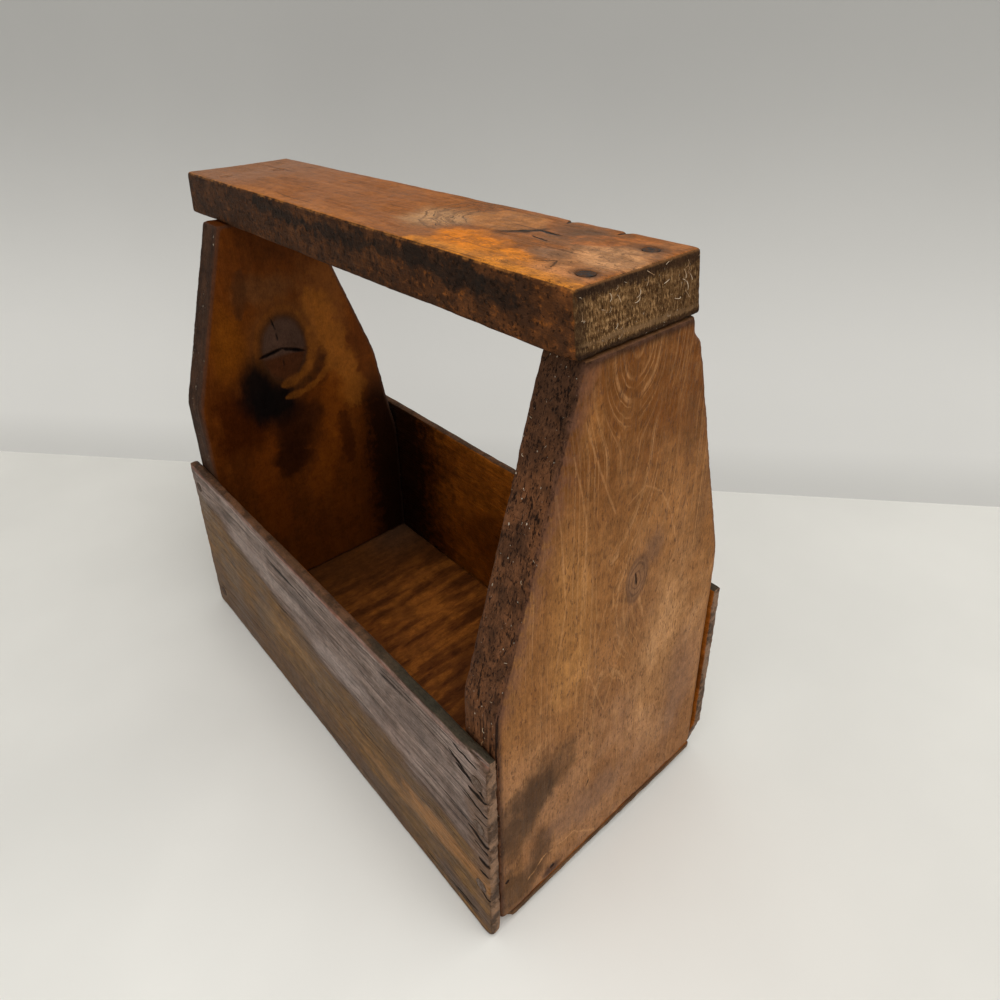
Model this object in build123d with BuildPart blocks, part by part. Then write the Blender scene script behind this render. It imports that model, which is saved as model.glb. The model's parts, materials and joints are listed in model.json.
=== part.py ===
from build123d import *
import os
from math import atan2, degrees

os.makedirs("parts", exist_ok=True)

# A hand-made open tool tote in old varnished softwood: two tapered end boards, a handle
# board nailed across their tops, two thin side boards and a plywood bottom.
# Frame: X runs along the tote, the front side board faces -Y and Z is up. The origin is
# the bottom centre of the whole tote. All sizes are in millimetres.

# ---- driving sizes: tray ---------------------------------------------------------------

BODY_LENGTH = 389.0          # over the outer faces of the two end boards
BODY_DEPTH = 186.0           # width of an end board, a nominal eight inch plank
END_THICKNESS = 28.0
END_HEIGHT = 345.5           # from the bottom sheet up to the handle
SIDE_THICKNESS = 8.0
SIDE_HEIGHT = 154.5
FRONT_OVERHANG_LEFT = 8.5    # front board past the outer face of the left end board
FRONT_SHORT_RIGHT = 0.5      # and just short of flush at the right end
FRONT_END_LEAN = 2.0         # its left end is sawn out of square
BACK_OVERHANG_LEFT = 4.0
BACK_OVERHANG_RIGHT = 2.0
BOTTOM_THICKNESS = 6.5
BOTTOM_RECESS = 4.5          # underside of the sheet above the side boards' lower edges
BOTTOM_GAP = 0.5             # sheet to each side board
BOTTOM_CORNER = 9.0          # front right corner sawn off

# ---- driving sizes: handle, a nominal two by four ---------------------------------------

HANDLE_WIDTH = 89.0
HANDLE_THICKNESS = 32.7
HANDLE_OVERHANG = 38.5       # underside past the left end board
HANDLE_SHORT_RIGHT = 0.5     # underside short of the right end board's outer face
HANDLE_OFFSET = 1.0          # the board sits a little towards the back
HANDLE_LEFT_CUT = 4.0        # how far each sawn end leans over the thickness
HANDLE_RIGHT_CUT = 3.5
HANDLE_CORNER = 3.0          # worn upright corners
HANDLE_ARRIS = 2.2           # worn long edges
NICK_WIDTH = 4.5             # two old nicks in the back top edge
NICK_DEPTH = 4.0
NICK_REACH = 5.0
NICKS_FROM_RIGHT = (47.0, 85.0)

# ---- driving sizes: end boards ----------------------------------------------------------
# Widths are measured from the middle line and heights from the ground.

RIGHT_TOP_FRONT = 38.0
RIGHT_TOP_BACK = 42.0
RIGHT_NECK = 8.0             # short upright stretch of the back edge under the handle
RIGHT_BULGE = 15.0           # where the taper starts, under the handle
RIGHT_BULGE_BACK = 49.0
RIGHT_BULGE_RADIUS = 8.0
RIGHT_SHOULDER_FRONT = 178.0
RIGHT_SHOULDER_BACK = 187.0
RIGHT_SHOULDER_RADIUS = 25.0

LEFT_TOP_FRONT = 51.0
LEFT_TOP_BACK = 24.0
LEFT_SHOULDER_FRONT = 214.0
LEFT_SHOULDER_RADIUS = 45.0
LEFT_SHOULDER_BACK = 219.0   # the back edge bends over in three steps
LEFT_SHOULDER_INSET = 17.0
LEFT_HIP = 172.0
LEFT_HIP_INSET = 9.0
LEFT_FOOT = 128.0
LEFT_BACK_RADIUS = 40.0

END_ARRIS = 2.4              # worn edges of both end boards

# ---- driving sizes: wear of the side boards ---------------------------------------------

SIDE_ARRIS = 2.2
SIDE_LOWER_ARRIS = 0.8
SPLINTER_LENGTH = 32.0       # split off the front board's outer top edge, right end
SPLINTER_HEIGHT = 7.0
SPLINTER_DEPTH = 2.6
CHECK_HEIGHTS = (122.0, 84.0, 71.0)   # end checks in the front board's right end
CHECK_LENGTHS = (12.0, 17.0, 10.0)
CHECK_WIDTH = 3.4
CHECK_DEPTH = 2.8
FRONT_CHIP = 3.5             # broken lower right corner of the front board
BACK_CHIP_LENGTH = 7.0       # broken lower right corner of the back board
BACK_CHIP_HEIGHT = 30.0

# ---- driving sizes: nails ---------------------------------------------------------------

HEAD_RADIUS = 4.4
HEAD_THICKNESS = 1.3
HEAD_SUNK = 0.4              # top of the head below the surface of the wood
HEAD_SIDES = 20              # facets that stand for a round head and a round shank
SHANK_RADIUS = 1.6
SHANK_SIDES = 10
POINT_LENGTH = 5.0
POINT_RADIUS = 0.3
NAIL_FIT = 0.1               # room round the head, the shank and the point
HANDLE_NAIL_LENGTH = 75.0
SIDE_NAIL_LENGTH = 38.0
BOTTOM_NAIL_LENGTH = 32.0
RIGHT_HANDLE_NAILS = ((15.5, -23.5), (19.0, 25.5))   # inset from the outer face, and Y
LEFT_HANDLE_NAILS = ((12.0, -30.0), (15.0, 12.0))
FRONT_LEFT_NAIL_HEIGHTS = (17.0, 134.0)
FRONT_RIGHT_NAIL_HEIGHTS = (44.0, 97.0, 133.0)
BACK_NAIL_HEIGHTS = (22.0, 72.0, 118.0)
LEFT_NAIL_INSET = 5.0        # side nails in from the end boards' outer faces
RIGHT_NAIL_INSET = 9.0
BOTTOM_NAIL_COUNT = 3
BOTTOM_NAIL_SPACING = 62.0

# ---- places worked out from the sizes ---------------------------------------------------

half_depth = BODY_DEPTH / 2
outer_y = half_depth + SIDE_THICKNESS
left_reach = BODY_LENGTH / 2 + HANDLE_OVERHANG
right_reach = BODY_LENGTH / 2 + BACK_OVERHANG_RIGHT
body_x = (left_reach - right_reach) / 2
left_x = body_x - BODY_LENGTH / 2
right_x = body_x + BODY_LENGTH / 2
floor_z = BOTTOM_RECESS + BOTTOM_THICKNESS
handle_z = floor_z + END_HEIGHT
top_z = handle_z + HANDLE_THICKNESS
handle_left = left_x - HANDLE_OVERHANG
handle_right = right_x - HANDLE_SHORT_RIGHT
handle_back = HANDLE_OFFSET + HANDLE_WIDTH / 2


# ---- nail places: planes on the wood's surface, Z pointing out of the wood ---------------

def nail_planes(points, outwards):
    return [Plane(origin=point, z_dir=outwards) for point in points]


handle_right_planes = nail_planes(
    [(right_x - inset, y, top_z) for inset, y in RIGHT_HANDLE_NAILS], (0, 0, 1))
handle_left_planes = nail_planes(
    [(left_x + inset, y, top_z) for inset, y in LEFT_HANDLE_NAILS], (0, 0, 1))
front_left_planes = nail_planes(
    [(left_x + LEFT_NAIL_INSET, -outer_y, z) for z in FRONT_LEFT_NAIL_HEIGHTS], (0, -1, 0))
front_right_planes = nail_planes(
    [(right_x - RIGHT_NAIL_INSET, -outer_y, z) for z in FRONT_RIGHT_NAIL_HEIGHTS], (0, -1, 0))
back_left_planes = nail_planes(
    [(left_x + RIGHT_NAIL_INSET, outer_y, z) for z in BACK_NAIL_HEIGHTS], (0, 1, 0))
back_right_planes = nail_planes(
    [(right_x - RIGHT_NAIL_INSET, outer_y, z) for z in BACK_NAIL_HEIGHTS], (0, 1, 0))


def bottom_planes(x):
    first = -BOTTOM_NAIL_SPACING * (BOTTOM_NAIL_COUNT - 1) / 2
    ys = [first + BOTTOM_NAIL_SPACING * i for i in range(BOTTOM_NAIL_COUNT)]
    return nail_planes([(x, y, BOTTOM_RECESS) for y in ys], (0, 0, -1))


bottom_left_planes = bottom_planes(left_x + END_THICKNESS / 2)
bottom_right_planes = bottom_planes(right_x - END_THICKNESS / 2)


def prisms(planes, depth, length, radius, sides, taper=0, mode=Mode.ADD):
    """A many-sided prism into the wood at each plane, from a depth below the surface."""
    with BuildSketch(*[-plane.offset(-depth) for plane in planes]) as section:
        RegularPolygon(radius, sides)
    extrude(section.sketch, amount=length, taper=taper, mode=mode)


def head_holes(planes, board_thickness):
    """Recess for each nail head, with the shank's hole right through the board."""
    recess = HEAD_SUNK + HEAD_THICKNESS
    prisms(planes, 0, recess, HEAD_RADIUS + NAIL_FIT, HEAD_SIDES, mode=Mode.SUBTRACT)
    prisms(planes, 0, board_thickness, SHANK_RADIUS + NAIL_FIT, SHANK_SIDES,
           mode=Mode.SUBTRACT)


def shank_holes(planes, board_thickness, nail_length):
    """Blind holes that the nails' shanks have made in an end board, behind another board."""
    depth = HEAD_SUNK + nail_length + NAIL_FIT - board_thickness
    prisms(planes, board_thickness, depth, SHANK_RADIUS + NAIL_FIT, SHANK_SIDES,
           mode=Mode.SUBTRACT)


def corner(sketch, point):
    """The corner of an outline that lies at a given point, to be rounded."""
    return sketch.vertices().sort_by_distance(point)[0]


# ---- handle board -----------------------------------------------------------------------
# One straight plank. Both ends are hand sawn, so each is a slanted cut, and every edge is
# rounded by years of carrying.

left_cut = Plane(
    origin=(handle_left, 0, handle_z),
    z_dir=(-HANDLE_THICKNESS, 0, HANDLE_LEFT_CUT),
)
right_cut = Plane(
    origin=(handle_right, 0, handle_z),
    z_dir=(HANDLE_THICKNESS, 0, HANDLE_RIGHT_CUT),
)

with BuildPart() as handle_board:
    with BuildSketch(Plane.YZ.offset(handle_left)):
        with Locations((HANDLE_OFFSET, handle_z)):
            Rectangle(HANDLE_WIDTH, HANDLE_THICKNESS, align=(Align.CENTER, Align.MIN))
    extrude(amount=handle_right - handle_left)
    split(bisect_by=left_cut, keep=Keep.BOTTOM)
    split(bisect_by=right_cut, keep=Keep.BOTTOM)
    long_sides = handle_board.faces().filter_by(Axis.Y)
    uprights = long_sides.edges().filter_by(Axis.X, reverse=True)
    fillet(uprights, radius=HANDLE_CORNER)
    fillet(handle_board.faces().sort_by(Axis.Z)[-1].edges(), radius=HANDLE_ARRIS)
    fillet(handle_board.faces().sort_by(Axis.Z)[0].edges(), radius=HANDLE_ARRIS)

    # two V nicks across the back top edge
    with BuildSketch(Plane.XZ.offset(-handle_back)):
        for distance in NICKS_FROM_RIGHT:
            with BuildLine():
                Polyline(
                    (handle_right - distance - NICK_WIDTH / 2, top_z),
                    (handle_right - distance, top_z - NICK_DEPTH),
                    (handle_right - distance + NICK_WIDTH / 2, top_z),
                    close=True,
                )
            make_face()
    extrude(amount=NICK_REACH, mode=Mode.SUBTRACT)

    head_holes(handle_left_planes + handle_right_planes, HANDLE_THICKNESS)
handle_board.part.label = "handle_board"


# ---- right end board ----------------------------------------------------------------------
# Straight up to its shoulders, then tapered to the handle. The sawn back edge steps in
# again just under the handle.

right_front_shoulder = (-half_depth, RIGHT_SHOULDER_FRONT)
right_back_shoulder = (half_depth, RIGHT_SHOULDER_BACK)
right_bulge = (RIGHT_BULGE_BACK, handle_z - RIGHT_BULGE)
right_neck = (RIGHT_TOP_BACK, handle_z - RIGHT_NECK)

with BuildPart() as right_end_board:
    with BuildSketch(Plane.YZ.offset(right_x - END_THICKNESS)) as right_outline:
        with BuildLine():
            Polyline(
                (-half_depth, floor_z),
                right_front_shoulder,
                (-RIGHT_TOP_FRONT, handle_z),
                (RIGHT_TOP_BACK, handle_z),
                right_neck,
                right_bulge,
                right_back_shoulder,
                (half_depth, floor_z),
                close=True,
            )
        make_face()
        fillet(corner(right_outline, right_front_shoulder), radius=RIGHT_SHOULDER_RADIUS)
        fillet(corner(right_outline, right_back_shoulder), radius=RIGHT_SHOULDER_RADIUS)
        fillet(corner(right_outline, right_bulge), radius=RIGHT_BULGE_RADIUS)
        fillet(corner(right_outline, right_neck), radius=RIGHT_BULGE_RADIUS)
    extrude(amount=END_THICKNESS)
    broad_faces = right_end_board.faces().filter_by(Axis.X)
    fillet(broad_faces.edges().filter_by(Axis.Y, reverse=True), radius=END_ARRIS)
    shank_holes(handle_right_planes, HANDLE_THICKNESS, HANDLE_NAIL_LENGTH)
    shank_holes(front_right_planes + back_right_planes, SIDE_THICKNESS, SIDE_NAIL_LENGTH)
    shank_holes(bottom_right_planes, BOTTOM_THICKNESS, BOTTOM_NAIL_LENGTH)
right_end_board.part.label = "right_end_board"


# ---- left end board -----------------------------------------------------------------------
# The same plank sawn less evenly: its top leans to the front, and its back edge bends over
# in three steps down to the side board.

left_front_shoulder = (-half_depth, LEFT_SHOULDER_FRONT)
left_back_shoulder = (half_depth - LEFT_SHOULDER_INSET, LEFT_SHOULDER_BACK)
left_hip = (half_depth - LEFT_HIP_INSET, LEFT_HIP)
left_foot = (half_depth, LEFT_FOOT)

with BuildPart() as left_end_board:
    with BuildSketch(Plane.YZ.offset(left_x)) as left_outline:
        with BuildLine():
            Polyline(
                (-half_depth, floor_z),
                left_front_shoulder,
                (-LEFT_TOP_FRONT, handle_z),
                (LEFT_TOP_BACK, handle_z),
                left_back_shoulder,
                left_hip,
                left_foot,
                (half_depth, floor_z),
                close=True,
            )
        make_face()
        fillet(corner(left_outline, left_front_shoulder), radius=LEFT_SHOULDER_RADIUS)
        for bend in (left_back_shoulder, left_hip, left_foot):
            fillet(corner(left_outline, bend), radius=LEFT_BACK_RADIUS)
    extrude(amount=END_THICKNESS)
    broad_faces = left_end_board.faces().filter_by(Axis.X)
    fillet(broad_faces.edges().filter_by(Axis.Y, reverse=True), radius=END_ARRIS)
    shank_holes(handle_left_planes, HANDLE_THICKNESS, HANDLE_NAIL_LENGTH)
    shank_holes(front_left_planes + back_left_planes, SIDE_THICKNESS, SIDE_NAIL_LENGTH)
    shank_holes(bottom_left_planes, BOTTOM_THICKNESS, BOTTOM_NAIL_LENGTH)
left_end_board.part.label = "left_end_board"


# ---- front side board ---------------------------------------------------------------------
# A thin weathered board. Its right end has split along the grain, and a splinter has come
# off its top edge there.

front_left_x = left_x - FRONT_OVERHANG_LEFT
front_right_x = right_x - FRONT_SHORT_RIGHT
past_edge = SIDE_THICKNESS / 4       # the cuts for the wear start this far off the wood

with BuildPart() as front_side_board:
    with BuildSketch(Plane.XZ.offset(outer_y)):
        with BuildLine():
            Polyline(
                (front_left_x, 0),
                (front_left_x + FRONT_END_LEAN, SIDE_HEIGHT),
                (front_right_x, SIDE_HEIGHT),
                (front_right_x, FRONT_CHIP),
                (front_right_x - FRONT_CHIP, 0),
                close=True,
            )
        make_face()
    extrude(amount=-SIDE_THICKNESS)
    edges_along = front_side_board.edges().filter_by(Axis.X)
    fillet(edges_along.group_by(Axis.Z)[-1], radius=SIDE_ARRIS)
    fillet(edges_along.group_by(Axis.Z)[0], radius=SIDE_LOWER_ARRIS)

    # the splinter
    with BuildSketch(Plane.XZ.offset(outer_y)):
        with BuildLine():
            Polyline(
                (front_right_x + past_edge, SIDE_HEIGHT + past_edge),
                (front_right_x - SPLINTER_LENGTH, SIDE_HEIGHT + past_edge),
                (front_right_x + past_edge, SIDE_HEIGHT - SPLINTER_HEIGHT),
                close=True,
            )
        make_face()
    extrude(amount=-SPLINTER_DEPTH, mode=Mode.SUBTRACT)

    # the end checks: wedges that close along the grain
    with BuildSketch(Plane.XZ.offset(outer_y)):
        for height, length in zip(CHECK_HEIGHTS, CHECK_LENGTHS):
            with BuildLine():
                Polyline(
                    (front_right_x + past_edge, height - CHECK_WIDTH / 2),
                    (front_right_x + past_edge, height + CHECK_WIDTH / 2),
                    (front_right_x - length, height),
                    close=True,
                )
            make_face()
    extrude(amount=-CHECK_DEPTH, mode=Mode.SUBTRACT)

    head_holes(front_left_planes + front_right_planes, SIDE_THICKNESS)
front_side_board.part.label = "front_side_board"


# ---- back side board ----------------------------------------------------------------------
# The same board again, with its lower right corner broken off.

back_left_x = left_x - BACK_OVERHANG_LEFT
back_right_x = right_x + BACK_OVERHANG_RIGHT

with BuildPart() as back_side_board:
    with BuildSketch(Plane.XZ.offset(-outer_y)):
        with BuildLine():
            Polyline(
                (back_left_x, 0),
                (back_left_x, SIDE_HEIGHT),
                (back_right_x, SIDE_HEIGHT),
                (back_right_x, BACK_CHIP_HEIGHT),
                (back_right_x - BACK_CHIP_LENGTH, 0),
                close=True,
            )
        make_face()
    extrude(amount=SIDE_THICKNESS)
    edges_along = back_side_board.edges().filter_by(Axis.X)
    fillet(edges_along.group_by(Axis.Z)[-1], radius=SIDE_ARRIS)
    fillet(edges_along.group_by(Axis.Z)[0], radius=SIDE_LOWER_ARRIS)
    head_holes(back_left_planes + back_right_planes, SIDE_THICKNESS)
back_side_board.part.label = "back_side_board"


# ---- bottom sheet -------------------------------------------------------------------------
# Plywood under both end boards and between the side boards, which reach lower than it does,
# so that the tote stands on the side boards' lower edges.

sheet_half = half_depth - BOTTOM_GAP

with BuildPart() as bottom_sheet:
    with BuildSketch(Plane.XY.offset(BOTTOM_RECESS)):
        with BuildLine():
            Polyline(
                (left_x, -sheet_half),
                (right_x - BOTTOM_CORNER, -sheet_half),
                (right_x, -sheet_half + BOTTOM_CORNER),
                (right_x, sheet_half),
                (left_x, sheet_half),
                close=True,
            )
        make_face()
    extrude(amount=BOTTOM_THICKNESS)
    head_holes(bottom_left_planes + bottom_right_planes, BOTTOM_THICKNESS)
bottom_sheet.part.label = "bottom_sheet"


# ---- nails --------------------------------------------------------------------------------
# Flat headed wire nails, one node for each row of them. The head lies in its recess and the
# shank fills its hole down to the point.

def nail_row(planes, nail_length):
    """Drive one nail at each plane, its head a little below the surface."""
    under_head = HEAD_SUNK + HEAD_THICKNESS
    shank_length = nail_length - HEAD_THICKNESS - POINT_LENGTH
    point_taper = degrees(atan2(SHANK_RADIUS - POINT_RADIUS, POINT_LENGTH))
    prisms(planes, HEAD_SUNK, HEAD_THICKNESS, HEAD_RADIUS, HEAD_SIDES)
    prisms(planes, under_head, shank_length, SHANK_RADIUS, SHANK_SIDES)
    prisms(planes, under_head + shank_length, POINT_LENGTH, SHANK_RADIUS, SHANK_SIDES,
           taper=point_taper)


nail_rows = {
    "handle_nails_left": (handle_left_planes, HANDLE_NAIL_LENGTH),
    "handle_nails_right": (handle_right_planes, HANDLE_NAIL_LENGTH),
    "front_nails_left": (front_left_planes, SIDE_NAIL_LENGTH),
    "front_nails_right": (front_right_planes, SIDE_NAIL_LENGTH),
    "back_nails_left": (back_left_planes, SIDE_NAIL_LENGTH),
    "back_nails_right": (back_right_planes, SIDE_NAIL_LENGTH),
    "bottom_nails_left": (bottom_left_planes, BOTTOM_NAIL_LENGTH),
    "bottom_nails_right": (bottom_right_planes, BOTTOM_NAIL_LENGTH),
}

for row_name, (row_planes, row_length) in nail_rows.items():
    with BuildPart() as row:
        nail_row(row_planes, row_length)
    row.part.label = row_name
    export_step(row.part, f"parts/{row_name}.step")


# ---- boards written out -------------------------------------------------------------------

export_step(handle_board.part, "parts/handle_board.step")
export_step(right_end_board.part, "parts/right_end_board.step")
export_step(left_end_board.part, "parts/left_end_board.step")
export_step(front_side_board.part, "parts/front_side_board.step")
export_step(back_side_board.part, "parts/back_side_board.step")
export_step(bottom_sheet.part, "parts/bottom_sheet.step")
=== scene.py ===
# %% [markdown]
# # An old wooden tool tote
#
# This lesson dresses a nailed, hand-made tool tote: two tapered end boards, a handle board
# across their tops, two thin side boards and a plywood bottom. The solids come from the
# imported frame, in metres, with X along the tote and Z up. Every board is one piece of
# softwood with its own grain direction, its own knots and its own wear, so the lesson builds
# a few shared tools first and then treats each board by itself.

# %% Load the frame
import json

import bmesh
import bpy
from mathutils import Matrix, Vector

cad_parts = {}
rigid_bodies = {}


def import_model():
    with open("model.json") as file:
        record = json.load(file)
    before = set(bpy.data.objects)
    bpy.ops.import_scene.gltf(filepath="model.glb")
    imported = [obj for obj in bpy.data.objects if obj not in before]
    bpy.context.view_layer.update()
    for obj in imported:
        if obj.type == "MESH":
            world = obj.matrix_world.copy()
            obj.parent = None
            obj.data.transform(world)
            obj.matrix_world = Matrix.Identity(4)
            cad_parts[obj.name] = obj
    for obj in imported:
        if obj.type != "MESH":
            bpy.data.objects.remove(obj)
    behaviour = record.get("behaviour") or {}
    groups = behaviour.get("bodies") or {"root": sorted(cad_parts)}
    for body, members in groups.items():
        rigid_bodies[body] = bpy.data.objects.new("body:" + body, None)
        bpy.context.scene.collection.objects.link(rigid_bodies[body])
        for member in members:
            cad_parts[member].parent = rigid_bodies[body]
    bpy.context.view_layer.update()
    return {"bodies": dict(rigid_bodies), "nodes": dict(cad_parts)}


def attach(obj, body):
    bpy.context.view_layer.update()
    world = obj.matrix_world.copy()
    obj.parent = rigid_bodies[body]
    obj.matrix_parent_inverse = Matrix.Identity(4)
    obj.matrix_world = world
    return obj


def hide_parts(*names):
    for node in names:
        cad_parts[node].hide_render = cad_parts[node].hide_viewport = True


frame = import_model()
BODY = next(iter(frame["bodies"]))
MM = 0.001


def add_object(name, data):
    """A new object at the origin of the scene."""
    made = bpy.data.objects.new(name, data)
    bpy.context.scene.collection.objects.link(made)
    return made


print("frame:", len(frame["nodes"]), "nodes on body", BODY)

# %% [markdown]
# ## The camera
#
# The view was fitted: a plain model of the boards was matched by least squares to the corners
# and straight edges marked in the photograph. That gave the lens and the camera's
# place and turn, together with the tote's proportions. The axes below are the camera's right
# and forward directions. A rotation matrix made of them is exact, where three angles would
# have to be read in the right order. The optical centre isn't the middle of the picture, as
# when a photograph has been cropped, so the lens is shifted.

# %% Camera
CAMERA_PLACE = Vector((0.40098, -0.25373, 0.48362))
CAMERA_RIGHT = Vector((0.64713, 0.76184, -0.02865))
CAMERA_FORWARD = Vector((-0.68859, 0.56795, -0.45087))
FOCAL_SHARE = 0.73156                 # focal length as a share of the picture's width
OPTICAL_CENTRE = (0.47823, 0.39905)   # of the picture, from its top left corner
SENSOR_WIDTH = 36.0


def make_camera():
    data = bpy.data.cameras.new("camera")
    data.sensor_width = SENSOR_WIDTH
    data.lens = FOCAL_SHARE * data.sensor_width
    data.shift_x = 0.5 - OPTICAL_CENTRE[0]
    data.shift_y = OPTICAL_CENTRE[1] - 0.5
    right = CAMERA_RIGHT.normalized()
    back = -CAMERA_FORWARD.normalized()
    up = back.cross(right)
    camera = add_object("camera", data)
    turn = Matrix((right, up, back)).transposed()
    camera.matrix_world = Matrix.Translation(CAMERA_PLACE) @ turn.to_4x4()
    return camera


bpy.context.scene.camera = make_camera()
print("camera lens", round(bpy.context.scene.camera.data.lens, 2), "mm")

# %% [markdown]
# ## Writing node trees as formulas
#
# Materials and modifiers are both node trees. Placing nodes one by one hides the formula in
# the wiring, so this small class gives each common node a short call that returns its
# output socket. Sockets and plain numbers can then be mixed freely.

# %% Node tree helper
class Graph:
    """Short calls for the nodes of one tree."""

    def __init__(self, tree):
        self.tree = tree

    def put(self, kind, **settings):
        node = self.tree.nodes.new(kind)
        for name, value in settings.items():
            setattr(node, name, value)
        return node

    def join(self, value, socket):
        if isinstance(value, bpy.types.NodeSocket):
            self.tree.links.new(value, socket)
        elif value is not None:
            socket.default_value = value

    def wire(self, kind, joined, out=0, **settings):
        """Place a node, join its inputs by name or number, and return one output."""
        node = self.put(kind, **settings)
        for name, value in joined.items():
            self.join(value, node.inputs[name])
        return node.outputs[out]

    def math(self, operation, *values, clamp=False):
        node = self.put("ShaderNodeMath", operation=operation, use_clamp=clamp)
        for value, socket in zip(values, node.inputs):
            self.join(value, socket)
        return node.outputs[0]

    def vector(self, operation, *values, scale=None):
        node = self.put("ShaderNodeVectorMath", operation=operation)
        for value, socket in zip(values, node.inputs):
            self.join(value, socket)
        if scale is not None:
            self.join(scale, node.inputs["Scale"])
        single = operation in ("LENGTH", "DISTANCE", "DOT_PRODUCT")
        return node.outputs["Value" if single else "Vector"]

    def split(self, vector):
        node = self.put("ShaderNodeSeparateXYZ")
        self.join(vector, node.inputs[0])
        return node.outputs

    def combine(self, x, y, z):
        node = self.put("ShaderNodeCombineXYZ")
        for value, socket in zip((x, y, z), node.inputs):
            self.join(value, socket)
        return node.outputs[0]

    def shift(self, place, seed):
        """The same pattern elsewhere: boards with different seeds differ."""
        return self.vector("ADD", place, self.combine(seed, seed, seed))

    def remap(self, value, low, high, to_low=0.0, to_high=1.0, smooth=True):
        node = self.put("ShaderNodeMapRange")
        node.interpolation_type = "SMOOTHSTEP" if smooth else "LINEAR"
        for item, socket in zip((value, low, high, to_low, to_high), node.inputs):
            self.join(item, socket)
        return node.outputs[0]

    def noise(self, vector, scale=1.0, detail=2.0, roughness=0.5, colour=False):
        return self.wire("ShaderNodeTexNoise", {
            "Vector": vector, "Scale": scale, "Detail": detail, "Roughness": roughness,
        }, "Color" if colour else "Fac")

    def mix(self, amount, first, second, blend="MIX"):
        node = self.put("ShaderNodeMix", data_type="RGBA", blend_type=blend)
        for value, socket in zip((amount, first, second),
                                 (node.inputs[0], node.inputs[6], node.inputs[7])):
            self.join(rgba(value), socket)
        return node.outputs[2]

    def bump(self, height, strength):
        """The normal of a relief whose height is in millimetres."""
        return self.wire("ShaderNodeBump", {
            "Distance": MM, "Strength": strength, "Height": height})

    def place(self, group, **values):
        """Put a node group in this tree and return its node."""
        kind = {"SHADER": "ShaderNodeGroup", "GEOMETRY": "GeometryNodeGroup"}[self.tree.type]
        node = self.put(kind, node_tree=group)
        for name, value in values.items():
            self.join(value, node.inputs[name.replace("_", " ")])
        return node


def rgba(value):
    """A colour of three numbers gets its fourth; sockets and numbers pass through."""
    return (*value, 1.0) if isinstance(value, tuple) and len(value) == 3 else value


SOCKETS = {"float": "NodeSocketFloat", "vector": "NodeSocketVector", "int": "NodeSocketInt",
           "geometry": "NodeSocketGeometry", "material": "NodeSocketMaterial"}


def new_group(name, kind, inputs, outputs):
    """A node group with named sockets: inputs are (name, type, default)."""
    tree = bpy.data.node_groups.new(name, kind)
    for title, sort, default in inputs:
        item = tree.interface.new_socket(title, in_out="INPUT", socket_type=SOCKETS[sort])
        if default is not None:
            item.default_value = default
    for title, sort in outputs:
        tree.interface.new_socket(title, in_out="OUTPUT", socket_type=SOCKETS[sort])
    graph = Graph(tree)
    given = graph.put("NodeGroupInput").outputs
    result = graph.put("NodeGroupOutput").inputs
    return graph, given, result


def new_material(name, specular):
    """A material with its graph and its Principled shader."""
    material = bpy.data.materials.new(name)
    material.use_nodes = True
    shader = material.node_tree.nodes["Principled BSDF"]
    shader.inputs["Specular IOR Level"].default_value = specular
    return material, Graph(material.node_tree), shader


print("node helper ready")

# %% [markdown]
# ## Floor, wall and light
#
# The tote stands on a pale floor, close to a pale wall. The floor is one large plane, with a
# painted pool of light before the near corner. The wall is a plane that can only be seen
# from its front: from behind, its material is transparent, so that the tote can be looked
# at from all round. To the camera the wall glows: painted light, brightest low down, with a
# painted shadow along its foot. Light comes from a white world, which fills every corner
# softly, and from one large soft lamp, high on the right.

# %% Floor, wall and light
FLOOR_COLOUR = (0.78, 0.765, 0.715)
WALL_COLOUR = (0.60, 0.588, 0.553)
STAGE_ROUGHNESS = 0.55
STAGE_SPECULAR = 0.2
CLOUDS_PER_METRE = 5.0
CLOUD_TONES = (0.97, 1.03)            # darkest and lightest part of the floor's faint clouds
# painted pool of light: the floor is lighter round this spot, before the near corner
LIGHT_POOL_SPOT = (0.22, -0.28, 0.0)      # the floor is lighter here, before the near corner
LIGHT_POOL_REACH = (0.08, 0.32)           # metres from the spot where that starts and ends to fade
LIGHT_POOL_TONE = 1.12
WALL_LEFT = Vector((-0.525, -0.087, 0.0))
WALL_RIGHT = Vector((0.161, 0.516, 0.0))
WALL_HEIGHT = 2.5
WALL_SEEN = 0.35                      # share of the wall's lit colour that the camera sees
# painted light: the wall's glow to the camera, brightest low down and fading upwards
WALL_GLOW = (0.76, 0.30)              # what it glows instead, low down and high up
WALL_GLOW_FADE = (0.12, 0.52)         # metres above the floor between which the glow falls
# a painted shadow along the foot of the wall
WALL_FOOT_SHADOW = (0.0, 0.09, 0.61, 0.80)   # a softer glow in the lowest centimetres
STAGE_REACH = 4.0
WORLD_COLOUR = (1.0, 1.0, 1.0)
WORLD_STRENGTH = 0.80
BACKGROUND_SHADE = 0.56               # how bright the world itself looks to the camera
LAMP_POWER = 17.0
LAMP_SIZE = 1.5
LAMP_PLACE = Vector((0.9, -0.1, 2.0))
LAMP_TARGET = Vector((0.0, 0.0, 0.15))


def plain_quad(name, corners, material):
    mesh = bpy.data.meshes.new(name)
    mesh.from_pydata([tuple(corner) for corner in corners], [], [(0, 1, 2, 3)])
    mesh.materials.append(material)
    quad = add_object(name, mesh)


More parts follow.
